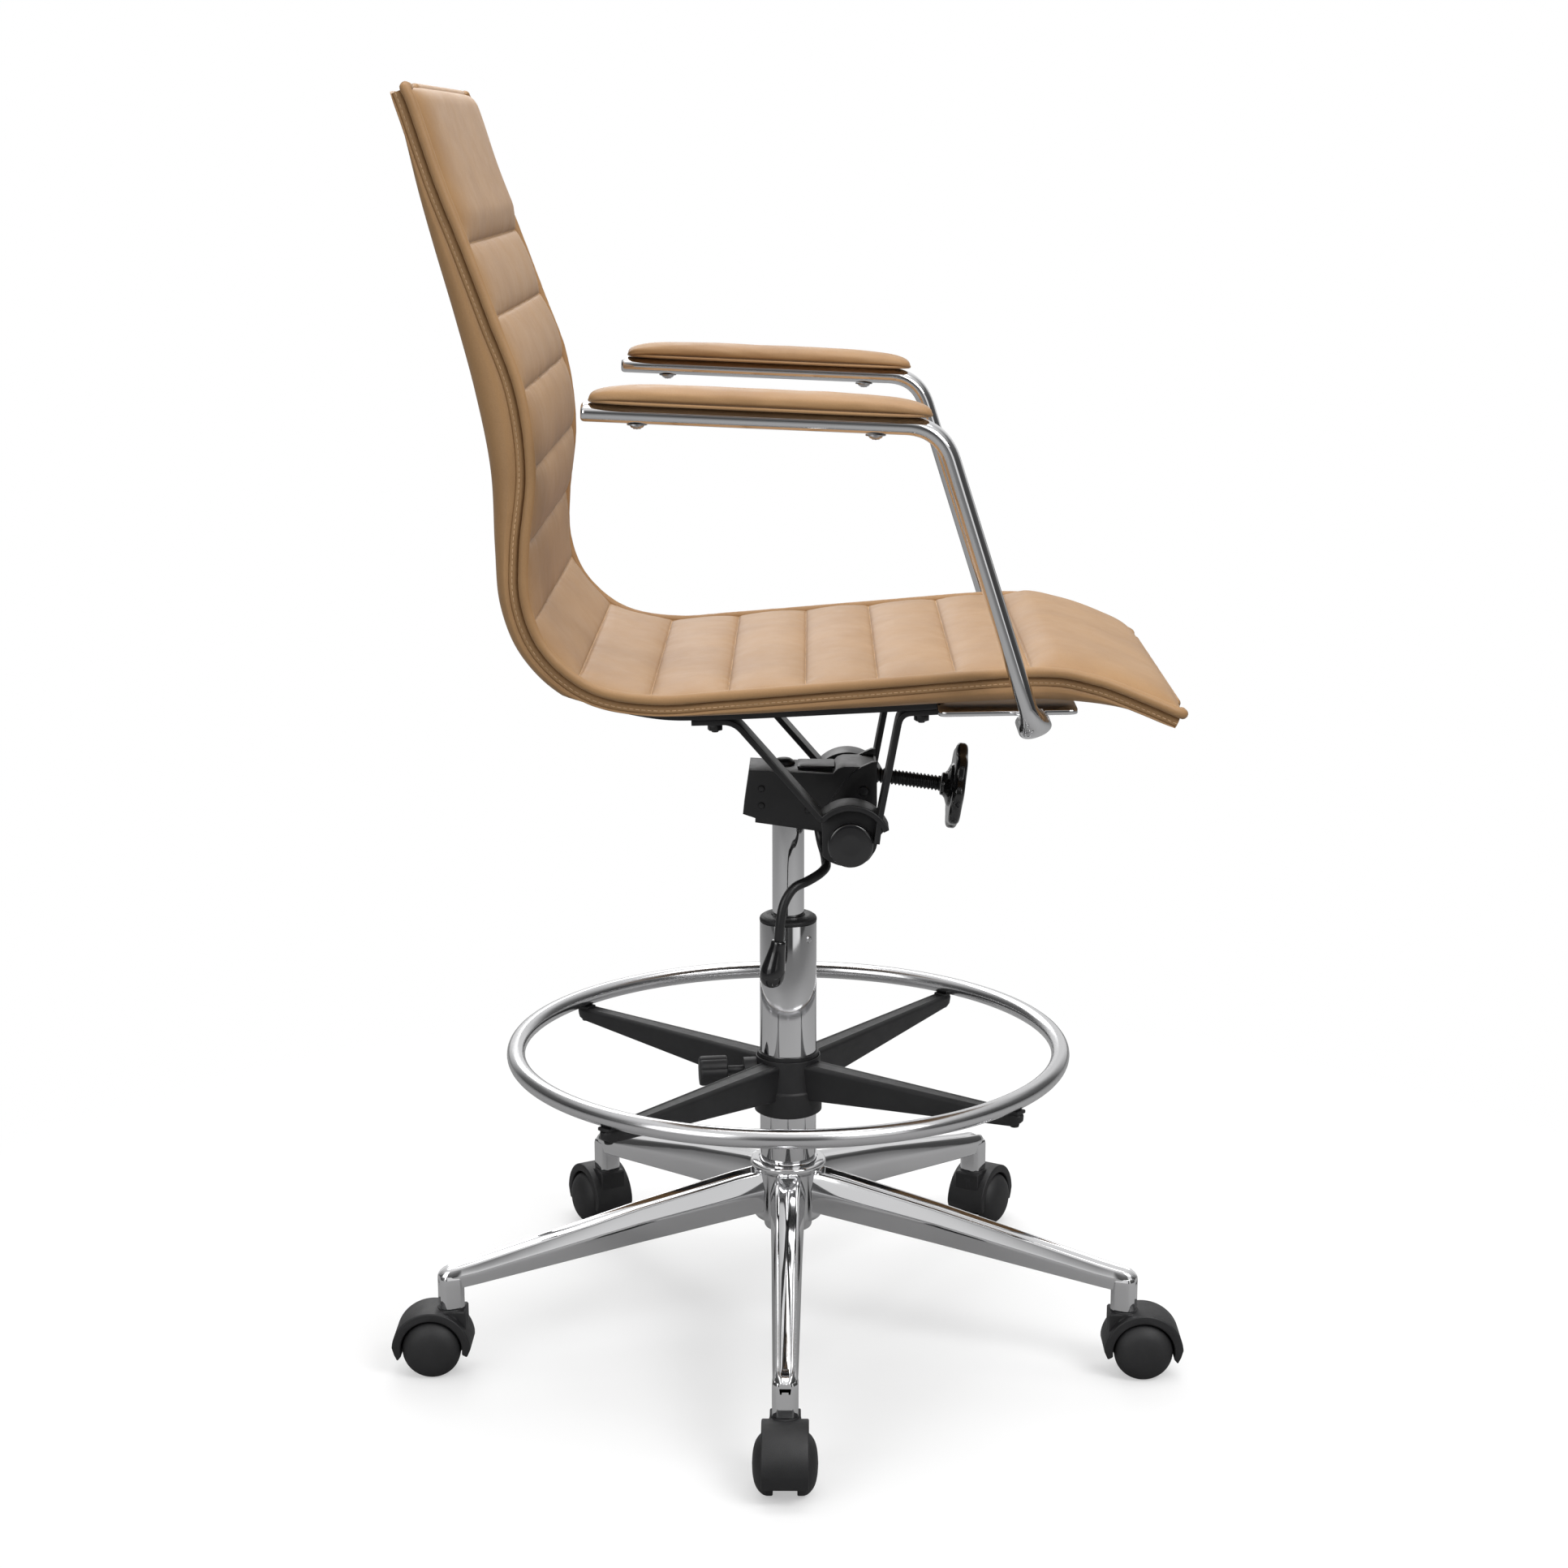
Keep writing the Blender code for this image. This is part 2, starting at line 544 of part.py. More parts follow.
# tilt tension: spindle, knob, nut and spring
CORE_R = 0.0050             # the spindle's thread inside the housing
add("tension_screw", turned("tension_screw", [
    (0.0, 0.0560), (SPINDLE_R, 0.0560), (SPINDLE_R, -0.0035), (CORE_R, -0.0038), (CORE_R, -0.0253), (0.0040, -0.0265), (0.0, -0.0265)],
    20, spindle_at(0.0)), BLACK_STEEL)
# lobed hand knob: eight rounded lobes round a hub
lobes = []
for k in range(40):
    a = 2 * pi * k / 40
    r = 0.0353 + 0.0015 * cos(8 * a)
    lobes.append((r * cos(a), r * sin(a)))
disc = outline("disc", lobes, 0.0055, spindle_at(0.0703))
hub = turned("hub", [(0.0, 0.0655), (0.0190, 0.0655), (0.0165, 0.0624), (0.0108, 0.0602), (0.0098, 0.0566), (0.0, 0.0566)], 18, spindle_at(0.0))
solid("tension_knob", BLACK_PLASTIC, disc, join=[hub])
nut_at = -0.0175
nut = outline("nut", [(-0.0062, -0.0100), (0.0062, -0.0100), (0.0062, 0.0100), (-0.0062, 0.0100)], 0.0040, spindle_at(nut_at))
solid("tension_nut", STEEL, nut, cut=[cylinder("nut_bore", CORE_R + GAP, -0.02, 0.02, spindle_at(nut_at), 20)])
coil = []
turns, per = 3.0, 10
for k in range(int(turns * per) + 1):
    a = 2 * pi * k / per
    d = -0.0116 + 0.0066 * k / (turns * per)
    p = spindle_at(d) @ Vector((0.0067 * cos(a), 0.0067 * sin(a), 0))
    coil.append((p.x - COLUMN_X, p.y, p.z))
add("tilt_spring", rod("tilt_spring", coil, 0.0008, 1), STEEL)

# height lever: inner arm over the valve pin, rod down through the open underside, hanging grip
LEVER_PIVOT = (-0.0140, 0.5155)     # x, z of the lever's own pivot, along Y
lever = [(0.0030, 0.0060, 0.5155), (-0.0030, -0.0060, 0.5155), (-0.0085, -0.0165, 0.5155), (-0.0120, -0.0230, 0.5137),
         (-0.0136, -0.0256, 0.5085), (-0.0140, -0.0262, 0.5000), (-0.0140, -0.0262, 0.4750), (-0.0150, -0.0264, 0.4650),
         (-0.0200, -0.0275, 0.4565), (-0.0300, -0.0292, 0.4508), (-0.0430, -0.0298, 0.4484), (-0.0570, -0.0280, 0.4470),
         (-0.0690, -0.0180, 0.4430), (-0.0790, -0.0040, 0.4375), (-0.0850, 0.0020, 0.4290),
         (-0.0870, 0.0045, 0.4180), (-0.0880, 0.0060, 0.4050), (-0.0880, 0.0072, 0.3895)]
add("height_lever", rod("height_lever", smooth(lever, 2), 0.0040, 1), BLACK_STEEL)
grip_m = along((-0.0880, 0.0072, 0.3890), (-0.0880, 0.0150, 0.3490))
add("lever_grip", turned("lever_grip", [
    (0.0, 0.0415), (0.0070, 0.0390), (0.0104, 0.0330), (0.0108, 0.0270), (0.0080, 0.0110), (0.0060, 0.0), (0.0, 0.0)], 16, grip_m), BLACK_PLASTIC)

# ----------------------------------------------------------------- column
add("outer_tube", turned("outer_tube", [
    (0.0224, OUTER_TOP_Z), (OUTER_R, OUTER_TOP_Z), (OUTER_R, HUB_BOTTOM_Z + 0.002), (0.0060, HUB_BOTTOM_Z + 0.002),
    (0.0060, HUB_BOTTOM_Z + 0.005), (0.0224, HUB_BOTTOM_Z + 0.005)], 28, at(0, 0, 0)), CHROME)
add("guide_bush", turned("guide_bush", [
    (PRESSURE_R + GAP, 0.3895), (0.0212, 0.3895), (0.0252, 0.3868), (0.0252, OUTER_TOP_Z + GAP), (0.0220, OUTER_TOP_Z + GAP),
    (0.0220, 0.3000), (PRESSURE_R + GAP, 0.3000)], 28, at(0, 0, 0)), BLACK_PLASTIC)
add("piston_rod", turned("piston_rod", [
    (0.0, 0.3750), (0.0116, 0.3750), (0.0116, 0.3600), (0.0050, 0.3600), (0.0050, 0.1050), (0.0, 0.1050)], 16, at(0, 0, 0)), STEEL)
add("thrust_bearing", turned("thrust_bearing", [
    (0.0056, 0.1218), (0.0130, 0.1218), (0.0130, HUB_BOTTOM_Z + 0.0053), (0.0056, HUB_BOTTOM_Z + 0.0053)], 20, at(0, 0, 0)), STEEL)
add("pressure_tube", turned("pressure_tube", [
    (0.0038, PRESSURE_TOP_Z), (0.0120, PRESSURE_TOP_Z), (PRESSURE_R, PRESSURE_TOP_Z - 0.003), (PRESSURE_R, PRESSURE_BOTTOM_Z),
    (0.0055, PRESSURE_BOTTOM_Z), (0.0055, PRESSURE_BOTTOM_Z + 0.010), (0.0123, PRESSURE_BOTTOM_Z + 0.010),
    (0.0123, PRESSURE_TOP_Z - 0.006), (0.0038, PRESSURE_TOP_Z - 0.006)], 24, at(0, 0, 0)), CHROME)
add("release_pin", turned("release_pin", [
    (0.0, 0.5112), (0.0030, 0.5112), (0.0034, 0.5102), (0.0034, 0.4880), (0.0, 0.4880)], 12, at(0, 0, 0)), STEEL)

# --------------------------------------------------------------- foot ring
bm = bmesh.new()
SEG, SIDES = 48, 8
rings = []
for i in range(SEG):
    a = 2 * pi * i / SEG
    rings.append([bm.verts.new((COLUMN_X + (RING_R + RING_TUBE_R * cos(b)) * cos(a), (RING_R + RING_TUBE_R * cos(b)) * sin(a),
                                RING_Z + RING_TUBE_R * sin(b))) for b in [2 * pi * k / SIDES for k in range(SIDES)]])
for i in range(SEG):
    for k in range(SIDES):
        r0, r1 = rings[i], rings[(i + 1) % SEG]
        bm.faces.new((r0[k], r1[k], r1[(k + 1) % SIDES], r0[(k + 1) % SIDES]))
add("foot_ring", finish_mesh(bm, "foot_ring"), CHROME)

hub = turned("ring_hub", [
    (0.0275, RING_HUB_TOP + 0.0005), (0.0288, RING_HUB_TOP + 0.0005), (0.0288, 0.2320), (0.0300, 0.2305), (0.0300, RING_HUB_LOW), (0.0275, RING_HUB_LOW)],
    28, at(0, 0, 0))
arms = []
SPOKE_END = RING_R + 0.0075
for ang in SPOKE_ANGLES:
    m = at(0, 0, 0) @ Matrix.Rotation(radians(ang), 4, "Z")
    bm = bmesh.new()
    bmesh.ops.create_cube(bm, size=1.0)
    top_out = RING_Z - RING_TUBE_R - GAP
    for v in bm.verts:
        far = v.co.x > 0
        x = SPOKE_END if far else 0.0281
        w = (0.0075 if v.co.z > 0 else 0.0055) if far else (0.0110 if v.co.z > 0 else 0.0080)
        z = (top_out if v.co.z > 0 else top_out - 0.0120) if far else (0.2575 if v.co.z > 0 else 0.2240)
        v.co = Vector((x, w if v.co.y > 0 else -w, z))
    bmesh.ops.bevel(bm, geom=[e for e in bm.edges if min(v.co.x for v in e.verts) > 0.1 and abs(e.verts[0].co.y - e.verts[1].co.y) > 0.005],
                    offset=0.004, segments=2, affect="EDGES")
    bmesh.ops.transform(bm, verts=bm.verts, matrix=m)
    arms.append(finish_mesh(bm, "spoke"))
knob_dir = Vector((cos(radians(CLAMP_ANGLE)), sin(radians(CLAMP_ANGLE)), 0))
CLAMP_Z = 0.2470
knob_m = Matrix.Translation(Vector((COLUMN_X, 0, CLAMP_Z))) @ knob_dir.to_track_quat("Z", "Y").to_matrix().to_4x4()
boss = cylinder("boss", 0.0110, 0.0281, 0.0400, knob_m, 16)
stud_hole = cylinder("stud_hole", 0.0043, 0.0200, 0.0500, knob_m, 12)
solid("foot_ring_spider", BLACK_STEEL, hub, join=arms + [boss], cut=[stud_hole])
add("ring_liner", turned("ring_liner", [
    (OUTER_R + GAP, RING_HUB_TOP + 0.0040), (0.0271, RING_HUB_TOP + 0.0040), (0.0271, RING_HUB_LOW - 0.0015), (OUTER_R + GAP, RING_HUB_LOW - 0.0015)],
    28, at(0, 0, 0)), BLACK_PLASTIC)
grip = []
for k in range(32):
    a = 2 * pi * k / 32
    r = 0.0129 + 0.0006 * cos(8 * a)
    grip.append((r * cos(a), r * sin(a)))
kn = outline("kn", grip, 0.0125, knob_m @ Matrix.Translation((0, 0, 0.0670)))
stud = cylinder("stud", 0.0040, 0.0276, 0.0600, knob_m, 12)
solid("clamp_knob", BLACK_PLASTIC, kn, join=[stud])

# ------------------------------------------------------------------- base
hub = turned("base_hub", [
    (OUTER_R + GAP, HUB_TOP_Z), (0.0318, HUB_TOP_Z), (0.0332, HUB_TOP_Z - 0.0015), (0.0332, HUB_TOP_Z - 0.0060), (0.0306, HUB_TOP_Z - 0.0090),
    (0.0302, HUB_BOTTOM_Z + 0.002), (0.0285, HUB_BOTTOM_Z), (0.0215, HUB_BOTTOM_Z), (0.0215, HUB_BOTTOM_Z - 0.011),
    (0.0150, HUB_BOTTOM_Z - 0.011), (0.0150, HUB_BOTTOM_Z + 0.0017), (OUTER_R + GAP, HUB_BOTTOM_Z + 0.0017)], 28, at(0, 0, 0))


def leg_mesh(m):
    """A leg lofted from the hub to its end: open below, with two ridges along the top."""
    stations = [  # r, half width at the foot and the shoulder; z of the foot, shoulder, ridge, groove; channel depth
        (0.0285, 0.0120, 0.0165, 0.1180, 0.1430, 0.1570, 0.1535, 0.026),
        (0.1400, 0.0108, 0.0148, 0.1023, 0.1215, 0.1345, 0.1320, 0.016),
        (0.2860, 0.0095, 0.0118, 0.0808, 0.0930, 0.1010, 0.0995, 0.006),
        (0.3120, 0.0085, 0.0104, 0.0765, 0.0890, 0.0955, 0.0945, 0.001),
        (0.3185, 0.0060, 0.0072, 0.0765, 0.0860, 0.0900, 0.0895, 0.001)]
    bm = bmesh.new()
    rings = []
    for r, wf, ws, zl, zs, zr, zg, deep in stations:
        wall = 0.0030
        pts = [(-wf, zl), (-wf + wall, zl), (-wf + wall, zl + deep), (wf - wall, zl + deep), (wf - wall, zl), (wf, zl),
               (ws, zs), (ws * 0.45, zr), (0.0, zg), (-ws * 0.45, zr), (-ws, zs)]
        rings.append([bm.verts.new(m @ Vector((r, y, z))) for y, z in pts])
    for r0, r1 in zip(rings, rings[1:]):
        for k in range(11):
            bm.faces.new((r0[k], r0[(k + 1) % 11], r1[(k + 1) % 11], r1[k]))
    bm.faces.new(rings[0][::-1])
    bm.faces.new(rings[-1])
    return finish_mesh(bm, "leg")


legs, posts, sockets = [], [], []
for ang in LEG_ANGLES:
    m = at(0, 0, 0) @ Matrix.Rotation(radians(ang), 4, "Z")
    legs.append(leg_mesh(m))
    pm = m @ Matrix.Translation((LEG_R, 0, 0)) @ Matrix.Rotation(radians(22.5), 4, "Z")
    posts.append(cylinder("post", 0.0104, POST_BOTTOM_Z, LEG_TIP_Z - 0.0045, pm, 8))
    sockets.append(cylinder("socket", STEM_R + GAP, POST_BOTTOM_Z - 0.01, POST_BOTTOM_Z + 0.0240, pm, 12))
solid("star_base", CHROME, hub, join=legs + posts, cut=sockets)

# ---------------------------------------------------------------- casters
HEADINGS = (180, 270, 330, 30, 90)      # which way each caster trails
for k, ang in enumerate(LEG_ANGLES):
    n = k + 1
    cm = at(0, 0, 0) @ Matrix.Rotation(radians(ang), 4, "Z") @ Matrix.Translation((LEG_R, 0, 0)) \
        @ Matrix.Rotation(radians(HEADINGS[k] - ang), 4, "Z")
    add("caster_%d_stem" % n, turned("stem", [
        (0.0, POST_BOTTOM_Z + 0.0230), (STEM_R - 0.001, POST_BOTTOM_Z + 0.0230), (STEM_R, POST_BOTTOM_Z + 0.0215), (STEM_R, 0.0420),
        (0.0, 0.0420)], 12, cm), STEEL)
    axle_m = cm @ Matrix.Translation((TRAIL, 0, WHEEL_R)) @ Matrix.Rotation(-pi / 2, 4, "X")      # local Z is the caster's +y
    side_m = cm @ Matrix(((1, 0, 0, TRAIL), (0, 0, -1, 0), (0, 1, 0, WHEEL_R), (0, 0, 0, 1)))     # local (x, y) is radial, up
    arc = []
    # a domed cover over the top of both wheels, closed down the middle by a web
    arc = [(HOOD_R * cos(radians(a)), HOOD_R * sin(radians(a))) for a in range(-6, 187, 24)]
    arc += [(0.0268 * cos(radians(a)), 0.0268 * sin(radians(a))) for a in range(186, -7, -24)]
    band = outline("band", arc, 0.0190, side_m)
    web = outline("web", [(0.0285 * cos(radians(a)), 0.0285 * sin(radians(a))) for a in range(0, 181, 30)]
                  + [(-0.0215, -0.0110), (-0.0090, -0.0170), (0.0090, -0.0170), (0.0215, -0.0110)], 0.0062, side_m)
    collar = turned("collar", [(0.0, POST_BOTTOM_Z - GAP), (0.0122, POST_BOTTOM_Z - GAP), (0.0135, 0.0530), (0.0135, 0.0420), (0.0, 0.0420)], 14, cm)
    wheel_room = cylinder("room", WHEEL_R + 0.0012, 0.0072, 0.0400, axle_m, 16)
    wheel_room_b = cylinder("room", WHEEL_R + 0.0012, -0.0400, -0.0072, axle_m, 16)
    axle = cylinder("axle", 0.0030, -0.0200, 0.0200, axle_m, 10)
    stem_bore = cylinder("stem_bore", STEM_R + GAP, 0.0415, 0.0700, cm, 12)
    hood = solid("caster_%d_hood" % n, BLACK_PLASTIC, band, join=[web, collar])
    for tag, me, op in (("room_a", wheel_room, "DIFFERENCE"), ("room_b", wheel_room_b, "DIFFERENCE"),
                        ("bore", stem_bore, "DIFFERENCE"), ("axle", axle, "UNION")):
        tool = add("caster_%d_%s" % (n, tag), me, None, CUTTERS)
        mod = hood.modifiers.new(tag, "BOOLEAN")
        mod.operation = op
        mod.solver = "EXACT"
        mod.object = tool
    for word, flip in (("a", 0.0), ("b", pi)):
        wm = axle_m @ Matrix.Rotation(flip, 4, "X")
        add("caster_%d_wheel_%s" % (n, word), turned("wheel", [
            (0.0, 0.0262), (0.0140, 0.0250), (0.0220, 0.0205), (WHEEL_R, 0.0150), (WHEEL_R, 0.0098),
            (0.0034, 0.0098), (0.0034, 0.0206), (0.0, 0.0206)], 20, wm), BLACK_PLASTIC)

# sections used only as guides are not part of the model
print("objects:", len(MODEL.objects))
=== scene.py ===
import bpy
import bmesh
from math import sin, cos, pi, radians, sqrt, atan2, hypot, exp
from mathutils import Vector, Matrix, noise


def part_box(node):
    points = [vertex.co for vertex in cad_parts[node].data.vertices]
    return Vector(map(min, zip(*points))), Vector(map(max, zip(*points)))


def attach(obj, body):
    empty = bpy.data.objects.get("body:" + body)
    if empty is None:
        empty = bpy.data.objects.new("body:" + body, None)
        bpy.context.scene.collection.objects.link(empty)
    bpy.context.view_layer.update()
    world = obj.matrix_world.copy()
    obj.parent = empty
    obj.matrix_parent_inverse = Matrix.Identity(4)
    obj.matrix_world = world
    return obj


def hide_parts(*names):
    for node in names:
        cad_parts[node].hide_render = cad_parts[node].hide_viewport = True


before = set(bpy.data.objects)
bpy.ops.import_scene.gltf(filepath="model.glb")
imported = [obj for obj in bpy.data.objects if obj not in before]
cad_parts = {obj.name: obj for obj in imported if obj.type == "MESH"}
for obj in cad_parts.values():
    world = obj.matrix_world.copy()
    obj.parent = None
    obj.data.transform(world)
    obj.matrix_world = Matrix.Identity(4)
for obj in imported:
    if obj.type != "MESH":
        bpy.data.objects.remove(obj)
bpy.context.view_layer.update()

lo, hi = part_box("outer_tube")
CX = (lo.x + hi.x) / 2                       # the column stands here, at y = 0
lo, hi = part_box("pivot_tube")
PIVOT = Vector(((lo.y + hi.y) / 2, (lo.z + hi.z) / 2))
LEG_ANGLES = (180, 252, 324, 36, 108)

# ------------------------------------------------------------------ materials


def nodes_of(name):
    m = bpy.data.materials.new(name)
    m.use_nodes = True
    nt = m.node_tree
    return m, nt, nt.nodes["Principled BSDF"], nt.nodes["Material Output"]


def node(nt, kind, **props):
    n = nt.nodes.new(kind)
    for k, v in props.items():
        setattr(n, k, v)
    return n


def coords(nt, scale=(1, 1, 1)):
    tc = node(nt, "ShaderNodeTexCoord")
    mp = node(nt, "ShaderNodeMapping")
    mp.inputs["Scale"].default_value = scale
    nt.links.new(tc.outputs["Object"], mp.inputs["Vector"])
    return mp.outputs["Vector"]


def noise_tex(nt, vec, scale, detail=3.0, rough=0.5):
    t = node(nt, "ShaderNodeTexNoise")
    t.inputs["Scale"].default_value = scale
    t.inputs["Detail"].default_value = detail
    t.inputs["Roughness"].default_value = rough
    nt.links.new(vec, t.inputs["Vector"])
    return t.outputs["Fac"]


def ramp(nt, fac, stops):
    r = node(nt, "ShaderNodeValToRGB")
    cr = r.color_ramp
    while len(cr.elements) < len(stops):
        cr.elements.new(0.5)
    for e, (pos, col) in zip(cr.elements, stops):
        e.position = pos
        e.color = col if len(col) == 4 else (*col, 1.0)
    nt.links.new(fac, r.inputs["Fac"])
    return r.outputs["Color"]


def to_range(nt, fac, a, b):
    n = node(nt, "ShaderNodeMapRange")
    n.inputs["To Min"].default_value = a
    n.inputs["To Max"].default_value = b
    nt.links.new(fac, n.inputs["Value"])
    return n.outputs["Result"]


def bump(nt, height, strength, distance, normal=None):
    b = node(nt, "ShaderNodeBump")
    b.inputs["Strength"].default_value = strength
    b.inputs["Distance"].default_value = distance
    nt.links.new(height, b.inputs["Height"])
    if normal:
        nt.links.new(normal, b.inputs["Normal"])
    return b.outputs["Normal"]


def leather_material(name, base, dark):
    m, nt, b, out = nodes_of(name)
    v = coords(nt)
    tone = noise_tex(nt, v, 14.0, 4.0, 0.6)
    fine = noise_tex(nt, v, 900.0, 2.0, 0.5)
    col = ramp(nt, tone, [(0.30, dark), (0.55, base), (0.80, tuple(min(c * 1.06, 1) for c in base))])
    mix = node(nt, "ShaderNodeMix", data_type="RGBA", blend_type="MULTIPLY")
    mix.inputs["Factor"].default_value = 0.20
    nt.links.new(col, mix.inputs[6])
    nt.links.new(ramp(nt, fine, [(0.35, (0.72, 0.72, 0.72)), (0.62, (1, 1, 1))]), mix.inputs[7])
    nt.links.new(mix.outputs[2], b.inputs["Base Color"])
    nt.links.new(to_range(nt, noise_tex(nt, v, 60.0, 3.0), 0.43, 0.58), b.inputs["Roughness"])
    cells = node(nt, "ShaderNodeTexVoronoi", feature="DISTANCE_TO_EDGE")
    cells.inputs["Scale"].default_value = 720.0
    nt.links.new(v, cells.inputs["Vector"])
    grain = bump(nt, cells.outputs["Distance"], 0.22, 0.0006)
    soft = bump(nt, noise_tex(nt, v, 170.0, 4.0, 0.6), 0.16, 0.0012, grain)
    nt.links.new(soft, b.inputs["Normal"])
    b.inputs["Specular IOR Level"].default_value = 0.35
    b.inputs["Sheen Weight"].default_value = 0.06
    b.inputs["Sheen Roughness"].default_value = 0.4
    m.diffuse_color = (*base, 1)
    return m


def chrome_material(name, base=(0.80, 0.80, 0.81), rough=(0.035, 0.10), scratch=900.0):
    m, nt, b, out = nodes_of(name)
    b.inputs["Metallic"].default_value = 1.0
    v = coords(nt)
    nt.links.new(ramp(nt, noise_tex(nt, v, 9.0, 2.0), [(0.3, tuple(c * 0.94 for c in base)), (0.7, base)]), b.inputs["Base Color"])
    nt.links.new(to_range(nt, noise_tex(nt, v, 35.0, 5.0, 0.65), *rough), b.inputs["Roughness"])
    nt.links.new(bump(nt, noise_tex(nt, v, 26.0, 2.0), 0.04, 0.0008), b.inputs["Normal"])
    m.diffuse_color = (*base, 1)
    return m


def black_material(name, base, rough, grain_scale, grain, coat=0.0):
    m, nt, b, out = nodes_of(name)
    v = coords(nt)
    nt.links.new(ramp(nt, noise_tex(nt, v, 40.0, 3.0), [(0.3, tuple(c * 0.75 for c in base)), (0.7, tuple(c * 1.2 for c in base))]), b.inputs["Base Color"])
    nt.links.new(to_range(nt, noise_tex(nt, v, 120.0, 4.0), *rough), b.inputs["Roughness"])
    nt.links.new(bump(nt, noise_tex(nt, v, grain_scale, 2.0), grain, 0.0004), b.inputs["Normal"])
    b.inputs["Coat Weight"].default_value = coat
    b.inputs["Coat Roughness"].default_value = 0.08
    b.inputs["Specular IOR Level"].default_value = 0.5
    m.diffuse_color = (*base, 1)
    return m


TAN = (0.360, 0.208, 0.094)
LEATHER = leather_material("leather_tan", TAN, (0.320, 0.180, 0.080))
THREAD = black_material("thread_tan", (0.62, 0.42, 0.24), (0.6, 0.8), 2600.0, 0.3)
CHROME = chrome_material("chrome_polished")
SATIN = chrome_material("chrome_satin", (0.72, 0.72, 0.73), (0.14, 0.24))
ZINC = chrome_material("zinc_bright", (0.60, 0.60, 0.61), (0.22, 0.38))
PAINT = black_material("paint_black", (0.012, 0.012, 0.013), (0.30, 0.44), 1100.0, 0.12)
NYLON = black_material("nylon_black", (0.011, 0.011, 0.012), (0.42, 0.58), 2400.0, 0.30)
GLOSS = black_material("plastic_gloss_black", (0.008, 0.008, 0.009), (0.10, 0.18), 700.0, 0.02, 0.6)
TREAD = black_material("tread_black", (0.014, 0.014, 0.015), (0.50, 0.64), 1800.0, 0.25)
BOARD = leather_material("board_dark", (0.20, 0.13, 0.07), (0.15, 0.10, 0.055))

# -------------------------------------------------------------------- helpers


def put(name, bm, mat, body, sharp=32.0, stands_for=()):
    """Finish a mesh as a piece that rides on a body."""
    bmesh.ops.remove_doubles(bm, verts=bm.verts, dist=2e-6)
    bmesh.ops.recalc_face_normals(bm, faces=bm.faces)
    me = bpy.data.meshes.new(name)
    bm.to_mesh(me)
    bm.free()
    me.materials.append(mat)
    me.shade_smooth()
    if sharp:
        me.set_sharp_from_angle(angle=radians(sharp))
    ob = bpy.data.objects.new(name, me)
    bpy.context.scene.collection.objects.link(ob)
    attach(ob, body)
    if stands_for:
        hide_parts(*stands_for)
    return ob


def at(x, y, z):
    return Matrix.Translation((CX + x, y, z))


def side_plane(x):
    """Local (x, y) is world (y, z); local z is world x."""
    return Matrix(((0, 0, 1, CX + x), (1, 0, 0, 0), (0, 1, 0, 0), (0, 0, 0, 1)))


def rounded(pts, rad, n=4, closed=False):
    """Replace each corner of a polyline by an arc-like bend of about that radius."""
    out = []
    m = len(pts)
    for i, p in enumerate(pts):
        if not closed and i in (0, m - 1):
            out.append(tuple(p))
            continue
        r = rad[i] if isinstance(rad, (list, tuple)) else rad
        a, b, c = Vector(pts[i - 1]), Vector(p), Vector(pts[(i + 1) % m])
        u, v = a - b, c - b
        if r <= 0 or u.length < 1e-9 or v.length < 1e-9:
            out.append(tuple(p))
            continue
        k = min(r, u.length * 0.48, v.length * 0.48)
        s, e = b + u.normalized() * k, b + v.normalized() * k
        for j in range(n + 1):
            t = j / n
            out.append(tuple(s * (1 - t) ** 2 + b * 2 * t * (1 - t) + e * t * t))
    return out


def loft(rings, caps=True, closed=False, bm=None):
    """Skin a list of rings with the same number of points."""
    bm = bm or bmesh.new()
    vs = [[bm.verts.new(p) for p in ring] for ring in rings]
    n = len(vs[0])
    last = len(vs) if closed else len(vs) - 1
    for i in range(last):
        r0, r1 = vs[i], vs[(i + 1) % len(vs)]
        for k in range(n):
            bm.faces.new((r0[k], r0[(k + 1) % n], r1[(k + 1) % n], r1[k]))
    if caps and not closed:
        bm.faces.new(vs[0][::-1])
        bm.faces.new(vs[-1])
    return bm


def lathe(profile, matrix=Matrix(), seg=64, bm=None, edge=0.0, n=3):
    """Turn an (r, z) profile about local Z. A profile that starts off the axis is a closed loop."""
    hollow = profile[0][0] > 1e-7
    if edge:
        profile = rounded(profile, edge, n, closed=hollow)
    bm = bm or bmesh.new()
    cols = []
    for k in range(seg):
        a = 2 * pi * k / seg
        cols.append([bm.verts.new(matrix @ Vector((r * cos(a), r * sin(a), z))) for r, z in profile])
    m = len(profile)
    for k in range(seg):
        c0, c1 = cols[k], cols[(k + 1) % seg]
        for i in range(m if hollow else m - 1):
            j = (i + 1) % m
            quad = (c0[i], c1[i], c1[j], c0[j])
            r0, r1 = profile[i][0], profile[j][0]
            if r0 < 1e-7 and r1 < 1e-7:
                continue
            bm.faces.new(quad)
    return bm


def collapse_axis(bm):
    bmesh.ops.remove_doubles(bm, verts=bm.verts, dist=2e-6)
    return bm


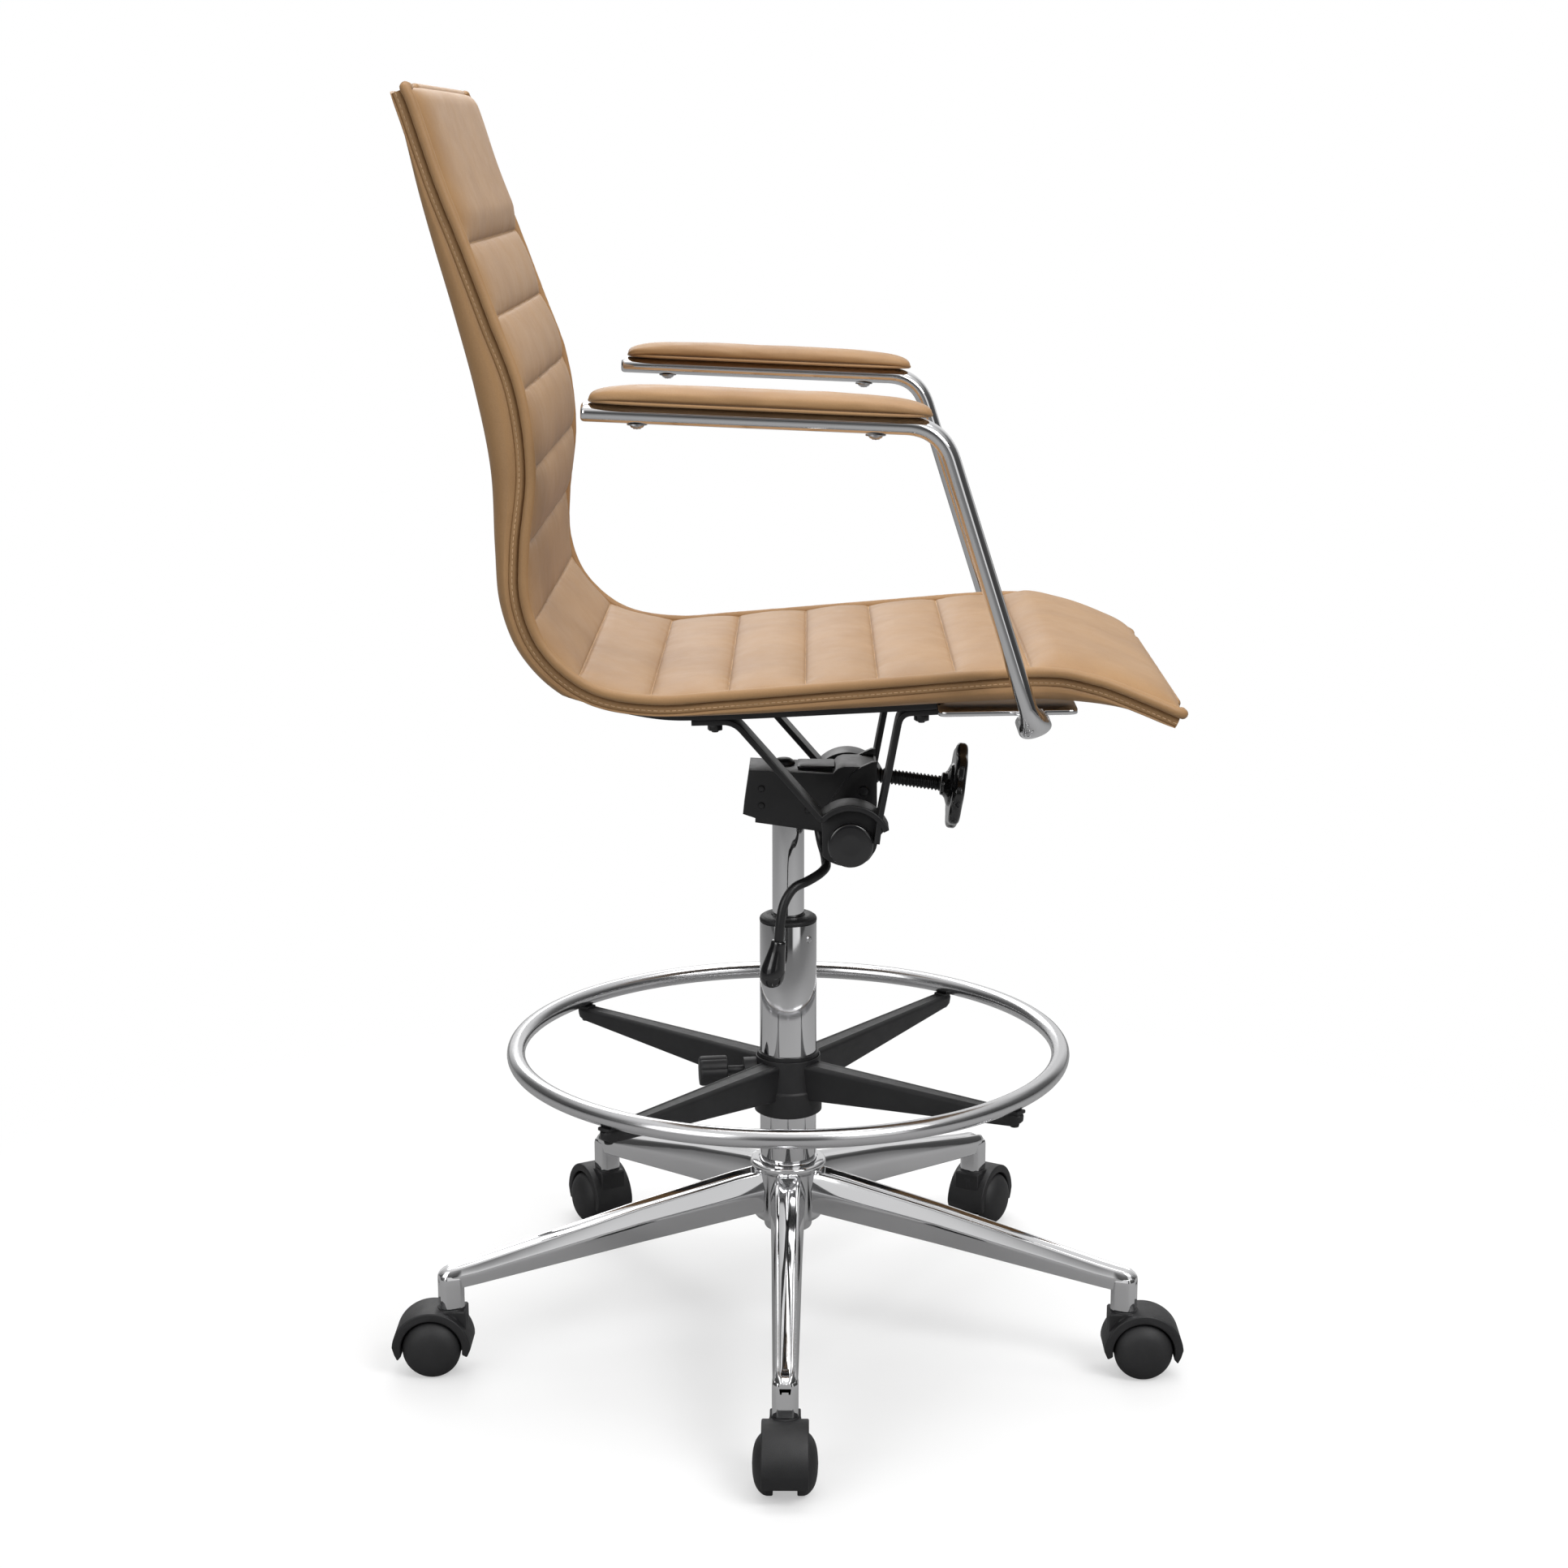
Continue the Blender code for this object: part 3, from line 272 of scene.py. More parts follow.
def plate(pts, half, matrix, bev=0.0008, seg=2, bm=None):
    """A flat outline thickened by +-half along local z, with softened edges."""
    own = bmesh.new()
    bottom = [own.verts.new((u, v, -half)) for u, v in pts]
    top = [own.verts.new((u, v, half)) for u, v in pts]
    own.faces.new(bottom[::-1])
    own.faces.new(top)
    n = len(pts)
    for i in range(n):
        own.faces.new((bottom[i], bottom[(i + 1) % n], top[(i + 1) % n], top[i]))
    bmesh.ops.recalc_face_normals(own, faces=own.faces)
    if bev:
        rim = [e for e in own.edges if len(e.link_faces) == 2 and e.calc_face_angle(0) > radians(50)]
        bmesh.ops.bevel(own, geom=rim, offset=bev, segments=seg, profile=0.5, affect="EDGES", clamp_overlap=True)
    bmesh.ops.transform(own, verts=own.verts, matrix=matrix)
    if bm is None:
        return own
    me = bpy.data.meshes.new("tmp")
    own.to_mesh(me)
    own.free()
    bm.from_mesh(me)
    bpy.data.meshes.remove(me)
    return bm


def merge(bm, other):
    me = bpy.data.meshes.new("tmp")
    other.to_mesh(me)
    other.free()
    bm.from_mesh(me)
    bpy.data.meshes.remove(me)
    return bm


def smooth(points, per=6):
    """Catmull-Rom curve through the points."""
    out = []
    n = len(points)
    for i in range(n - 1):
        p0, p1 = points[max(i - 1, 0)], points[i]
        p2, p3 = points[i + 1], points[min(i + 2, n - 1)]
        for k in range(per):
            t = k / per
            out.append(tuple(0.5 * ((2 * b) + (c - a) * t + (2 * a - 5 * b + 4 * c - d) * t * t
                                    + (3 * b - a - 3 * c + d) * t ** 3)
                             for a, b, c, d in zip(p0, p1, p2, p3)))
    out.append(tuple(points[-1]))
    return out


def resample(pts, n):
    """n + 1 evenly spaced points along a polyline, and its length."""
    pts = [Vector(p) for p in pts]
    acc = [0.0]
    for a, b in zip(pts, pts[1:]):
        acc.append(acc[-1] + (b - a).length)
    out, j = [], 0
    for i in range(n + 1):
        s = acc[-1] * i / n
        while j < len(acc) - 2 and acc[j + 1] < s:
            j += 1
        span = acc[j + 1] - acc[j]
        t = (s - acc[j]) / span if span > 1e-12 else 0.0
        out.append(pts[j].lerp(pts[j + 1], t))
    return out, acc[-1]


def frames(path, up):
    """Tangent, side and up at every point of a 3D path, without twist."""
    path = [Vector(p) for p in path]
    res = []
    u = Vector(up)
    for i, p in enumerate(path):
        t = (path[min(i + 1, len(path) - 1)] - path[max(i - 1, 0)]).normalized()
        u = (u - t * u.dot(t)).normalized()
        res.append((p, t, u.cross(t).normalized(), u))
    return res


def sweep(path, section, up=(0, 0, 1), closed=False, bm=None, scale=None, round_ends=0.0):
    """Sweep a 2D section (side, up) along a path; round_ends domes both ends by that length."""
    fr = frames(path, up)
    rings = []
    if round_ends and not closed:
        for k in range(4):
            a = radians(8 + 22 * k)
            p, t, s, u = fr[0]
            rings.append([CXV + p - t * round_ends * cos(a) + s * x * sin(a) + u * y * sin(a) for x, y in section])
    for i, (p, t, s, u) in enumerate(fr):
        f = scale[i] if scale else 1.0
        rings.append([CXV + p + s * x * f + u * y * f for x, y in section])
    if round_ends and not closed:
        for k in range(3, -1, -1):
            a = radians(8 + 22 * k)
            p, t, s, u = fr[-1]
            rings.append([CXV + p + t * round_ends * cos(a) + s * x * sin(a) + u * y * sin(a) for x, y in section])
    return loft(rings, caps=not closed, closed=closed, bm=bm)


CXV = Vector((CX, 0, 0))


def circle(r, n=16):
    return [(r * cos(2 * pi * k / n), r * sin(2 * pi * k / n)) for k in range(n)]


def superoval(a, b, n=32, p=2.6):
    out = []
    for k in range(n):
        t = 2 * pi * k / n
        c, s = cos(t), sin(t)
        out.append((a * (abs(c) ** (2 / p)) * (1 if c > 0 else -1), b * (abs(s) ** (2 / p)) * (1 if s > 0 else -1)))
    return out


def slab(w, t, r, n=4):
    """A rounded rectangle section, w wide and t thick."""
    pts = [(-w / 2, -t / 2), (w / 2, -t / 2), (w / 2, t / 2), (-w / 2, t / 2)]
    return rounded(pts, r, n, closed=True)


def boolean(ob, bm, op="DIFFERENCE"):
    """Apply a Boolean with a temporary mesh."""
    me = bpy.data.meshes.new("tool")
    bmesh.ops.remove_doubles(bm, verts=bm.verts, dist=2e-6)
    bmesh.ops.recalc_face_normals(bm, faces=bm.faces)
    bm.to_mesh(me)
    bm.free()
    tool = bpy.data.objects.new("tool", me)
    bpy.context.scene.collection.objects.link(tool)
    mod = ob.modifiers.new("b", "BOOLEAN")
    mod.operation = op
    mod.solver = "EXACT"
    mod.object = tool
    bake(ob)
    bpy.data.objects.remove(tool)
    bpy.data.meshes.remove(me)
    return ob


def bake(ob, sharp=32.0):
    """Apply the modifiers."""
    bpy.context.view_layer.update()
    dg = bpy.context.evaluated_depsgraph_get()
    me = bpy.data.meshes.new_from_object(ob.evaluated_get(dg))
    old = ob.data
    ob.modifiers.clear()
    ob.data = me
    bpy.data.meshes.remove(old)
    me.shade_smooth()
    if sharp:
        me.set_sharp_from_angle(angle=radians(sharp))
    return ob


def soften(ob, width, segments=2, angle=35.0):
    mod = ob.modifiers.new("bevel", "BEVEL")
    mod.width = width
    mod.segments = segments
    mod.limit_method = "ANGLE"
    mod.angle_limit = radians(angle)
    mod.harden_normals = False
    return bake(ob, 40.0)


# ------------------------------------------------------------- seat and back
PIPING = [(0.2890, 1.0915), (0.2828, 1.0745), (0.2650, 1.0200), (0.2475, 0.9745), (0.2268, 0.9180),
          (0.2070, 0.8620), (0.1998, 0.8000), (0.2062, 0.7390), (0.2058, 0.6950), (0.1900, 0.6570),
          (0.1550, 0.6280), (0.1065, 0.6185), (0.0471, 0.6222), (-0.0733, 0.6323), (-0.1948, 0.6416),
          (-0.2440, 0.6355), (-0.2850, 0.6205), (-0.3150, 0.6075)]
BEHIND = [(0.2958, 1.0920), (0.2955, 1.0720), (0.2862, 1.0200), (0.2750, 0.9730), (0.2600, 0.9170),
          (0.2462, 0.8600), (0.2352, 0.7985), (0.2328, 0.7370), (0.2290, 0.6900), (0.2120, 0.6490),
          (0.1760, 0.6160), (0.1150, 0.5985), (0.0560, 0.5968), (-0.0700, 0.6030), (-0.1900, 0.6090),
          (-0.2400, 0.6075), (-0.2800, 0.6030), (-0.3100, 0.5985)]
SEAMS = [(0.2475, 0.9745), (0.2269, 0.9190), (0.2049, 0.8618), (0.1998, 0.7995), (0.2067, 0.7395), (0.2022, 0.6788),
         (0.1663, 0.6345), (0.1080, 0.6180), (0.0471, 0.6222), (-0.0141, 0.6276), (-0.0733, 0.6323), (-0.1338, 0.6376),
         (-0.1948, 0.6416)]
STATIONS = 440
line, LENGTH = resample([(y, z, 0) for y, z in smooth(PIPING, 8)], STATIONS)
rear_line, _ = resample([(y, z, 0) for y, z in smooth(BEHIND, 8)], STATIONS)
line = [Vector((p.x, p.y)) for p in line]
rear_line = [Vector((p.x, p.y)) for p in rear_line]
away = []
for i in range(STATIONS + 1):
    t = (line[min(i + 1, STATIONS)] - line[max(i - 1, 0)]).normalized()
    away.append(Vector((-t.y, t.x)))
seam_s = []
for y, z in SEAMS:
    i = min(range(STATIONS + 1), key=lambda k: (line[k] - Vector((y, z))).length)
    seam_s.append(LENGTH * i / STATIONS)
bounds_s = [0.0] + seam_s + [LENGTH]
W = 0.1915                    # half the cushion's width, to the piping's inner side


def station(s):
    """Position and outward normal (away from the sitter) at s metres along the edge."""
    f = min(max(s / LENGTH, 0.0), 1.0) * STATIONS
    i = min(int(f), STATIONS - 1)
    t = f - i
    return line[i].lerp(line[i + 1], t), away[i].lerp(away[i + 1], t).normalized()


def crown(s, x):
    """Height of the cushion's face over the piping line, towards the sitter."""
    k = 0
    while k < len(bounds_s) - 2 and s > bounds_s[k + 1]:
        k += 1
    a, b = bounds_s[k], bounds_s[k + 1]
    t = min(max((s - a) / (b - a), 0.0), 1.0)
    q = min(abs(x) / W, 1.0)
    first, last = k == 0, k == len(bounds_s) - 2
    # channel cushion: steep at the seams, full in the middle
    if first:
        roll = (1 - (1 - min(t / 0.12, 1.0)) ** 2) ** 0.5
        fall = min(1.0, ((1 - t) / 0.17)) ** 0.5
        lift = 0.0022 * roll - 0.0026 * (1 - fall) + 0.0095 * roll * fall
    elif last:
        roll = (1 - (1 - min((1 - t) / 0.22, 1.0)) ** 2) ** 0.5
        fall = min(1.0, (t / 0.17)) ** 0.5
        lift = 0.0022 * roll - 0.0026 * (1 - fall) + 0.0105 * roll * fall
    else:
        lift = -0.0008 + 0.0082 * (4 * t * (1 - t)) ** 0.47
    side = max(1 - q ** 7, 0.0) ** 0.5
    # leather drawn in at the seams puckers a little
    d = min(s - a, b - s) if not (first or last) else ((b - s) if first else (s - a))
    pucker = exp(-d / 0.007) * noise.noise(Vector((x * 105, k * 7.3, 2.1 + s * 9))) * 0.0011
    broad = noise.noise(Vector((x * 17, s * 22, 5.0))) * 0.0006
    pull = exp(-d / 0.018) * exp(-(W - abs(x)) / 0.030) * noise.noise(Vector((s * 210, x * 40, 9.0))) * 0.0016
    return (lift + pucker + broad + pull) * side


def seat_point(s, x, h):
    p, a = station(s)
    return Vector((CX + x, p.x - a.x * h, p.y - a.y * h))


# stations packed closer at the seams
rows = []
for a, b in zip(bounds_s, bounds_s[1:]):
    n = 34 if b - a > 0.1 else 22
    for k in range(n):
        t = k / n
        rows.append(a + (b - a) * (t - 0.11 * sin(2 * pi * t)))
rows.append(LENGTH)
rows = sorted(min(max(r, 0.0), LENGTH) for r in rows)
cols = []
NX = 76
for k in range(NX + 1):
    t = -1 + 2 * k / NX
    cols.append(W * (t * 1.5 - 0.5 * t ** 3) if abs(t) < 1 else W * t)
bm = bmesh.new()
front = [[bm.verts.new(seat_point(s, x, crown(s, x))) for x in cols] for s in rows]
back = [[bm.verts.new(seat_point(s, x, -0.0040)) for x in (cols[0], cols[NX // 4], cols[NX // 2], cols[-NX // 4 - 1], cols[-1])] for s in rows]
for r0, r1 in zip(front, front[1:]):
    for k in range(NX):
        bm.faces.new((r0[k], r0[k + 1], r1[k + 1], r1[k]))
for r0, r1 in zip(back, back[1:]):
    for k in range(4):
        bm.faces.new((r0[k], r1[k], r1[k + 1], r0[k + 1]))
for f0, f1, b0, b1 in zip(front, front[1:], back, back[1:]):
    bm.faces.new((f0[0], f1[0], b1[0], b0[0]))
    bm.faces.new((f0[-1], b0[-1], b1[-1], f1[-1]))
bm.faces.new(front[0] + back[0][::-1])
bm.faces.new(front[-1][::-1] + back[-1])
cushion = put("seat_cushion_leather", bm, LEATHER, "seat", 0, ("seat_cushion",))

# welt all round the cushion
PIPE_X = 0.1950


def loop_points():
    """The welt's closed path: up one side, over the end, down the other; corners stand out a little."""
    pts = []

    def p3(s, x, out=0.0, rise=0.0):
        p, a = station(s)
        t = Vector((a.y, -a.x))
        q = p + t * out + a * rise
        return Vector((x, q.x, q.y))
    n = 230
    inset = 0.010
    side = [inset + (LENGTH - 2 * inset) * k / n for k in range(n + 1)]
    for s in side:
        pts.append(p3(s, -PIPE_X))
    for k in range(1, 9):
        a = pi / 2 * k / 9
        ear = sin(2 * a) ** 2
        pts.append(p3(LENGTH - inset + inset * sin(a), -PIPE_X + inset * (1 - cos(a)) - 0.0012 * ear, 0.0026 * ear))
    for k in range(61):
        pts.append(p3(LENGTH, -PIPE_X + inset + (2 * PIPE_X - 2 * inset) * k / 60))
    for k in range(1, 9):
        a = pi / 2 * (9 - k) / 9
        ear = sin(2 * a) ** 2
        pts.append(p3(LENGTH - inset + inset * sin(a), PIPE_X - inset * (1 - cos(a)) + 0.0012 * ear, 0.0026 * ear))
    for s in side[::-1]:
        pts.append(p3(s, PIPE_X))
    for k in range(1, 9):
        a = pi / 2 * k / 9
        ear = sin(2 * a) ** 2
        pts.append(p3(inset - inset * sin(a), PIPE_X - inset * (1 - cos(a)) + 0.0012 * ear, -0.0030 * ear, 0.0008 * ear))
    for k in range(61):
        pts.append(p3(0.0, PIPE_X - inset - (2 * PIPE_X - 2 * inset) * k / 60))
    for k in range(1, 9):
        a = pi / 2 * (9 - k) / 9
        ear = sin(2 * a) ** 2
        pts.append(p3(inset - inset * sin(a), -PIPE_X + inset * (1 - cos(a)) - 0.0012 * ear, -0.0030 * ear, 0.0008 * ear))
    return pts


def closed_tube(pts, section, wobble=0.0):
    """A closed loop tube whose section is held against the direction away from the middle of the seat."""
    n = len(pts)
    rings = []
    for i, p in enumerate(pts):
        t = (pts[(i + 1) % n] - pts[i - 1]).normalized()
        u = Vector((p.x, 0, 0)) if abs(p.x) > 0.15 else Vector((0, 0, 1))
        u = (u - t * u.dot(t)).normalized()
        s = u.cross(t).normalized()
        f = 1 + wobble * noise.noise(p * 260)
        rings.append([CXV + p + s * x * f + u * y * f for x, y in section])
    return loft(rings, closed=True)


welt_path = loop_points()
put("seat_welt", closed_tube(welt_path, circle(0.0042, 14), 0.05), LEATHER, "seat", 0, ())


def capsules(name, ends, r, mat, body, sides=6):
    """Many short stitches, each a capsule between two points."""
    bm = bmesh.new()
    for a, b in ends:
        t = (b - a).normalized()
        u = t.orthogonal().normalized()
        v = t.cross(u)
        rings = []
        for d, f in ((-0.9, 0.35), (-0.45, 0.9), (0, 1.0)):
            rings.append([a + t * r * d + (u * cos(2 * pi * k / sides) + v * sin(2 * pi * k / sides)) * r * f for k in range(sides)])
        for d, f in ((0, 1.0), (0.45, 0.9), (0.9, 0.35)):
            rings.append([b + t * r * d + (u * cos(2 * pi * k / sides) + v * sin(2 * pi * k / sides)) * r * f for k in range(sides)])
        loft(rings, bm=bm)
    return put(name, bm, mat, body, 0, ())


stitches = []
for s in seam_s:
    n = 74
    for k in range(n):
        x0 = -0.186 + 0.372 * (k + 0.15) / n
        x1 = -0.186 + 0.372 * (k + 0.80) / n
        h0, h1 = crown(s, x0) + 0.0002, crown(s, x1) + 0.0002
        stitches.append((seat_point(s, x0, h0), seat_point(s, x1, h1)))
capsules("seam_stitches", stitches, 0.00042, THREAD, "seat", 5)

# rear covering: side band, seam and the rounded back
RW = 0.1925


def cover_ring(i, shrink):
    p, a = line[i], away[i]
    r = rear_line[i]
    g = p + a * 0.0118
    ring = []
    deep = (r - g).dot(a)
    lift = 0.0
    if p.y < 0.66 and p.x < 0.165:                      # room for the panel under the seat
        ramp_in = min(max((0.163 - p.x) / 0.014, 0), 1) * min(max((p.x + 0.300) / 0.012, 0), 1)
        lift = 0.0056 * ramp_in
    deep = max(deep - lift, 0.0035) * shrink
    outline = [(-RW + 0.0030, 0.0040), (-RW + 0.0006, 0.0052), (-RW, 0.0070), (-RW, 0.0100), (-RW + 0.0004, 0.0112),
               (-RW + 0.0019, 0.0119), (-RW + 0.0010, 0.0127)]
    m = 22
    for k in range(m + 1):
        q = 1 - k / m
        x = -(RW - 0.0008) * ((1 - (1 - q) ** 2.2) if k < m else 0.0)
        f = max(1 - (abs(x) / (RW - 0.0004)) ** 18.0, 0.0) ** (1 / 2.2)
        outline.append((x, 0.0131 + (deep - 0.0013) * f))
    full = outline + [(-x, n) for x, n in outline[-2::-1]]
    for x, n in full:
        q = p + a * n
        if n > 0.0131:                                   # lean towards the measured rear line
            f = (n - 0.0131) / max(deep - 0.0013, 1e-4)
            side = (r - g) - a * (r - g).dot(a)
            q = q + side * f
        ring.append(Vector((CX + x, q.x, q.y)))
    return ring


rings = []
for i in range(0, STATIONS + 1, 2):
    s = LENGTH * i / STATIONS
    e = min(1.0, min(s + 0.0016, LENGTH - s + 0.0016) / 0.018)
    rings.append(cover_ring(i, sqrt(max(1 - (1 - e) ** 2, 0.0))))
put("rear_cover_leather", loft(rings), LEATHER, "seat", 50, ("rear_cover", "seat_shell"))

# stitch line along the side band, both sides
stitches = []
for side in (-1, 1):
    n = 210
    for k in range(n):
        s0, s1 = LENGTH * (k + 0.2) / n, LENGTH * (k + 0.75) / n
        ends = []
        for s in (s0, s1):
            p, a = station(s)
            q = p + a * 0.0092
            ends.append(Vector((CX + side * (RW + 0.0001), q.x, q.y)))
        stitches.append(tuple(ends))
capsules("band_stitches", stitches, 0.00038, THREAD, "seat", 5)

print("seat done", len(rows), LENGTH)

# ------------------------------------------------------------------ arm rests
ARM_X = 0.240


def underside(y):
    """Height of the seat's underside on the middle line."""
    best = min((p for p in rear_line if p.y < 0.63 and p.x < 0.2), key=lambda p: abs(p.x - y))
    return best.y


def arm_path(side):
    pts = [(0.1530, 0.8508), (0.0350, 0.8458), (-0.0880, 0.8408)]
    rail = Vector((-0.2410, -0.0100)).normalized()
    knee = Vector((-0.1180, 0.8396))
    leg = (Vector((-0.1880, 0.6218)) - knee).normalized()
    out = [Vector((side * ARM_X, *p)) for p in smooth(pts, 6)]
    for k in range(15):
        t = k / 14
        p = (knee - rail * 0.027) * (1 - t) ** 2 + knee * 2 * t * (1 - t) + (knee + leg * 0.027) * t * t
        out.append(Vector((side * ARM_X, p.x, p.y)))
    low = knee + leg * ((knee.y - 0.622) / -leg.y)
    for k in range(1, 9):
        p = (knee + leg * 0.027).lerp(low, k / 8)
        out.append(Vector((side * ARM_X, p.x, p.y)))
    a, c, b = Vector((ARM_X, low.x, low.y)), Vector((ARM_X, -0.1962, 0.6000)), Vector((0.207, -0.1962, 0.6000))
    for k in range(1, 11):
        t = k / 10
        p = a * (1 - t) ** 2 + c * 2 * t * (1 - t) + b * t * t
        out.append(Vector((side * p.x, p.y, p.z)))
    out.append(Vector((side * 0.177, -0.1962, 0.6000)))
    return out


def pan_screw(bm, matrix, r=0.0050, h=0.0032):
    """A domed screw head with a cross recess, standing on local z = 0."""
    lathe([(0.0, h), (r * 0.45, h * 0.96), (r * 0.80, h * 0.70), (r, h * 0.18), (r, 0.0), (0.0, 0.0)], matrix, 24, bm)
    for turn in (0, pi / 2):
        m = matrix @ Matrix.Rotation(turn, 4, "Z")
        merge(bm, plate([(-r * 0.5, -r * 0.10), (r * 0.5, -r * 0.10), (r * 0.5, r * 0.10), (-r * 0.5, r * 0.10)], 0.0004,
                        m @ Matrix.Translation((0, 0, h * 0.98)), 0.00015, 1))
    return bm


DOWN = Matrix.Rotation(pi, 4, "X")
ARM_BOLT_Y = (-0.139, -0.216)
for side, word in ((-1, "right"), (1, "left")):
    path = arm_path(side)
    rings = []
    fr = frames(path, (0, 0, 1))
    for i, (p, t, s, u) in enumerate(fr):
        k = min(max((0.622 - p.z) / 0.022, 0.0), 1.0) if abs(p.x) < ARM_X or p.z < 0.63 else 0.0
        k = k * k * (3 - 2 * k)
        a, b = 0.0135 + (0.0072 - 0.0135) * k, 0.0073 + (0.0135 - 0.0073) * k
        sec = superoval(a, b, 36, 2.25)
        if i == 0:
            for d, f in ((0.0030, 0.80), (0.0022, 0.93), (0.0010, 0.985)):
                rings.append([CXV + p - t * d + s * x * f + u * y * f for x, y in sec])
        rings.append([CXV + p + s * x + u * y for x, y in sec])
        if i == len(fr) - 1:
            for d, f in ((0.0010, 0.985), (0.0022, 0.93), (0.0030, 0.80)):
                rings.append([CXV + p + t * d + s * x * f + u * y * f for x, y in sec])
    bm = loft(rings)
    # foot plate under the seat, following its slope
    y0, y1 = -0.1215, -0.2335
    z0, z1 = underside(y0) - 0.0016, underside(y1) - 0.0016
    slope = atan2(z0 - z1, y0 - y1)
    corners = rounded([(-0.0270, -0.0560), (0.0270, -0.0560), (0.0270, 0.0560), (-0.0270, 0.0560)], 0.008, 5, closed=True)
    fm = Matrix.Translation((CX + side * 0.1538, (y0 + y1) / 2, (z0 + z1) / 2)) @ Matrix.Rotation(slope, 4, "X")
    merge(bm, plate(corners, 0.0021, fm, 0.0008, 2))
    put("arm_frame_tube_" + word, bm, CHROME, "seat", 45, ("arm_frame_" + word,))
    # pad: crowned leather top and its welt

    def rail_z(y):
        return 0.8510 + (0.8405 - 0.8510) * (0.1530 - y) / 0.2410

    rings, welt = [], []
    n = 72
    for i in range(n + 1):
        f = i / n
        u = -cos(pi * f)
        y = 0.1500 - 0.1305 * (u + 1)
        end = max(1 - abs(u) ** 5.0, 0.0) ** 0.5
        fat = 0.0118 + 0.0022 * sin(pi * (0.18 + 0.66 * f))
        w = 0.0226 * max(end, 0.06) ** 0.45
        h = fat * max(end, 0.05) ** 0.60
        zc = rail_z(y) + 0.0087 + 0.0068 * (0.35 + 0.65 * end)
        ring = []
        for a, b in superoval(1.0, 1.0, 40, 2.5):
            bump_up = 1.10 if b > 0 else 0.62
            wrinkle = noise.noise(Vector((side * 3 + a * 2, y * 46, b * 2))) * 0.00045
            ring.append(Vector((CX + side * ARM_X + a * (w + wrinkle), y, zc - 0.0016 + b * h * 0.58 * bump_up + wrinkle)))
        rings.append(ring)
    pad = put("arm_pad_leather_" + word, loft(rings), LEATHER, "seat", 0, ("arm_pad_" + word,))
    ring_pts = []
    m = 150
    for i in range(m):
        a = 2 * pi * i / m
        c, s = cos(a), sin(a)
        yy = 0.1300 * (abs(c) ** (2 / 6)) * (1 if c > 0 else -1)
        xx = 0.0222 * (abs(s) ** (2 / 2.6)) * (1 if s > 0 else -1)
        y = 0.0195 + yy
        ring_pts.append(Vector((side * ARM_X + xx, y, rail_z(y) + 0.0092)))
    rr = []
    for i, p in enumerate(ring_pts):
        t = (ring_pts[(i + 1) % m] - ring_pts[i - 1]).normalized()
        uu = Vector((0, 0, 1))
        ss = uu.cross(t).normalized()
        rr.append([CXV + p + ss * x + uu * y for x, y in circle(0.0013, 8)])
    put("arm_pad_welt_" + word, loft(rr, closed=True), LEATHER, "seat", 0, ())
    # screws that hold the pad, below the tube
    bm = bmesh.new()
    for y in (0.1136, -0.0683):
        z = rail_z(y) - 0.0073
        lathe([(0.0, 0.0012), (0.0078, 0.0012), (0.0078, 0.0), (0.0, 0.0)], at(side * ARM_X, y, z) @ DOWN, 28, bm)
        pan_screw(bm, at(side * ARM_X, y, z - 0.0010) @ DOWN, 0.0058, 0.0030)
    put("pad_screws_" + word, bm, ZINC, "seat", 35, ())

# ------------------------------------------------------------- under the seat
STRAP_X, STRAP_W, STRAP_T = 0.105, 0.030, 0.005
BLOCK = 0.0090
low = [p for p in rear_line if p.y < 0.62 and -0.131 < p.x < 0.142][::2]
rings = []
for i, p in enumerate(low):
    e = min(i, len(low) - 1 - i) * (low[0] - low[-1]).length / (len(low) - 1)
    half = 0.125 - 0.006 * (1 - min(e / 0.012, 1.0)) ** 2
    sec = rounded([(-half, -BLOCK), (half, -BLOCK), (half, 0.0046), (-half, 0.0046)], 0.0024, 4, closed=True)
    rings.append([Vector((CX + x, p.x, p.y + z)) for x, z in sec])
put("underseat_board", loft(rings), NYLON, "seat", 40, ("underseat_panel",))

BLACK_NUT = black_material("nut_black", (0.016, 0.016, 0.017), (0.26, 0.36), 900.0, 0.08)


def hexagon(r, turn=0.0):
    return [(r * cos(pi / 3 * k + turn), r * sin(pi / 3 * k + turn)) for k in range(6)]


def hex_bolt(name, node, x, y, top, r, h, body="seat"):
    """A washer, a hexagon head and the end of its thread, hanging from the face at z = top."""
    bm = bmesh.new()
    lathe([(0.0, 0.0), (0.0078, 0.0), (0.0078, 0.0013), (0.0, 0.0013)], at(x, y, top) @ DOWN, 32, bm, 0.0003, 2)
    merge(bm, plate(hexagon(r, 0.3), h / 2, at(x, y, top - 0.0013 - h / 2), 0.0007, 2))
    lathe([(0.0, 0.0016), (0.0026, 0.0016), (0.0030, 0.0010), (0.0030, 0.0), (0.0, 0.0)], at(x, y, top - 0.0013 - h) @ DOWN, 20, bm)
    put(name, bm, BLACK_NUT, body, 32, (node,))


for side, word in ((-1, "right"), (1, "left")):
    for k, y in enumerate((0.0600, -0.1110)):
        hex_bolt("strap_hex_%s_%d" % (word, k + 1), "strap_bolt_%s_%d" % (word, k + 1), side * STRAP_X, y, underside(y) - BLOCK - 0.0053, 0.0066, 0.0054)
    for k, y in enumerate(ARM_BOLT_Y):
        hex_bolt("arm_hex_%s_%d" % (word, k + 1), "arm_bolt_%s_%d" % (word, k + 1), side * 0.140, y, underside(y) - 0.0037, 0.0062, 0.0046)

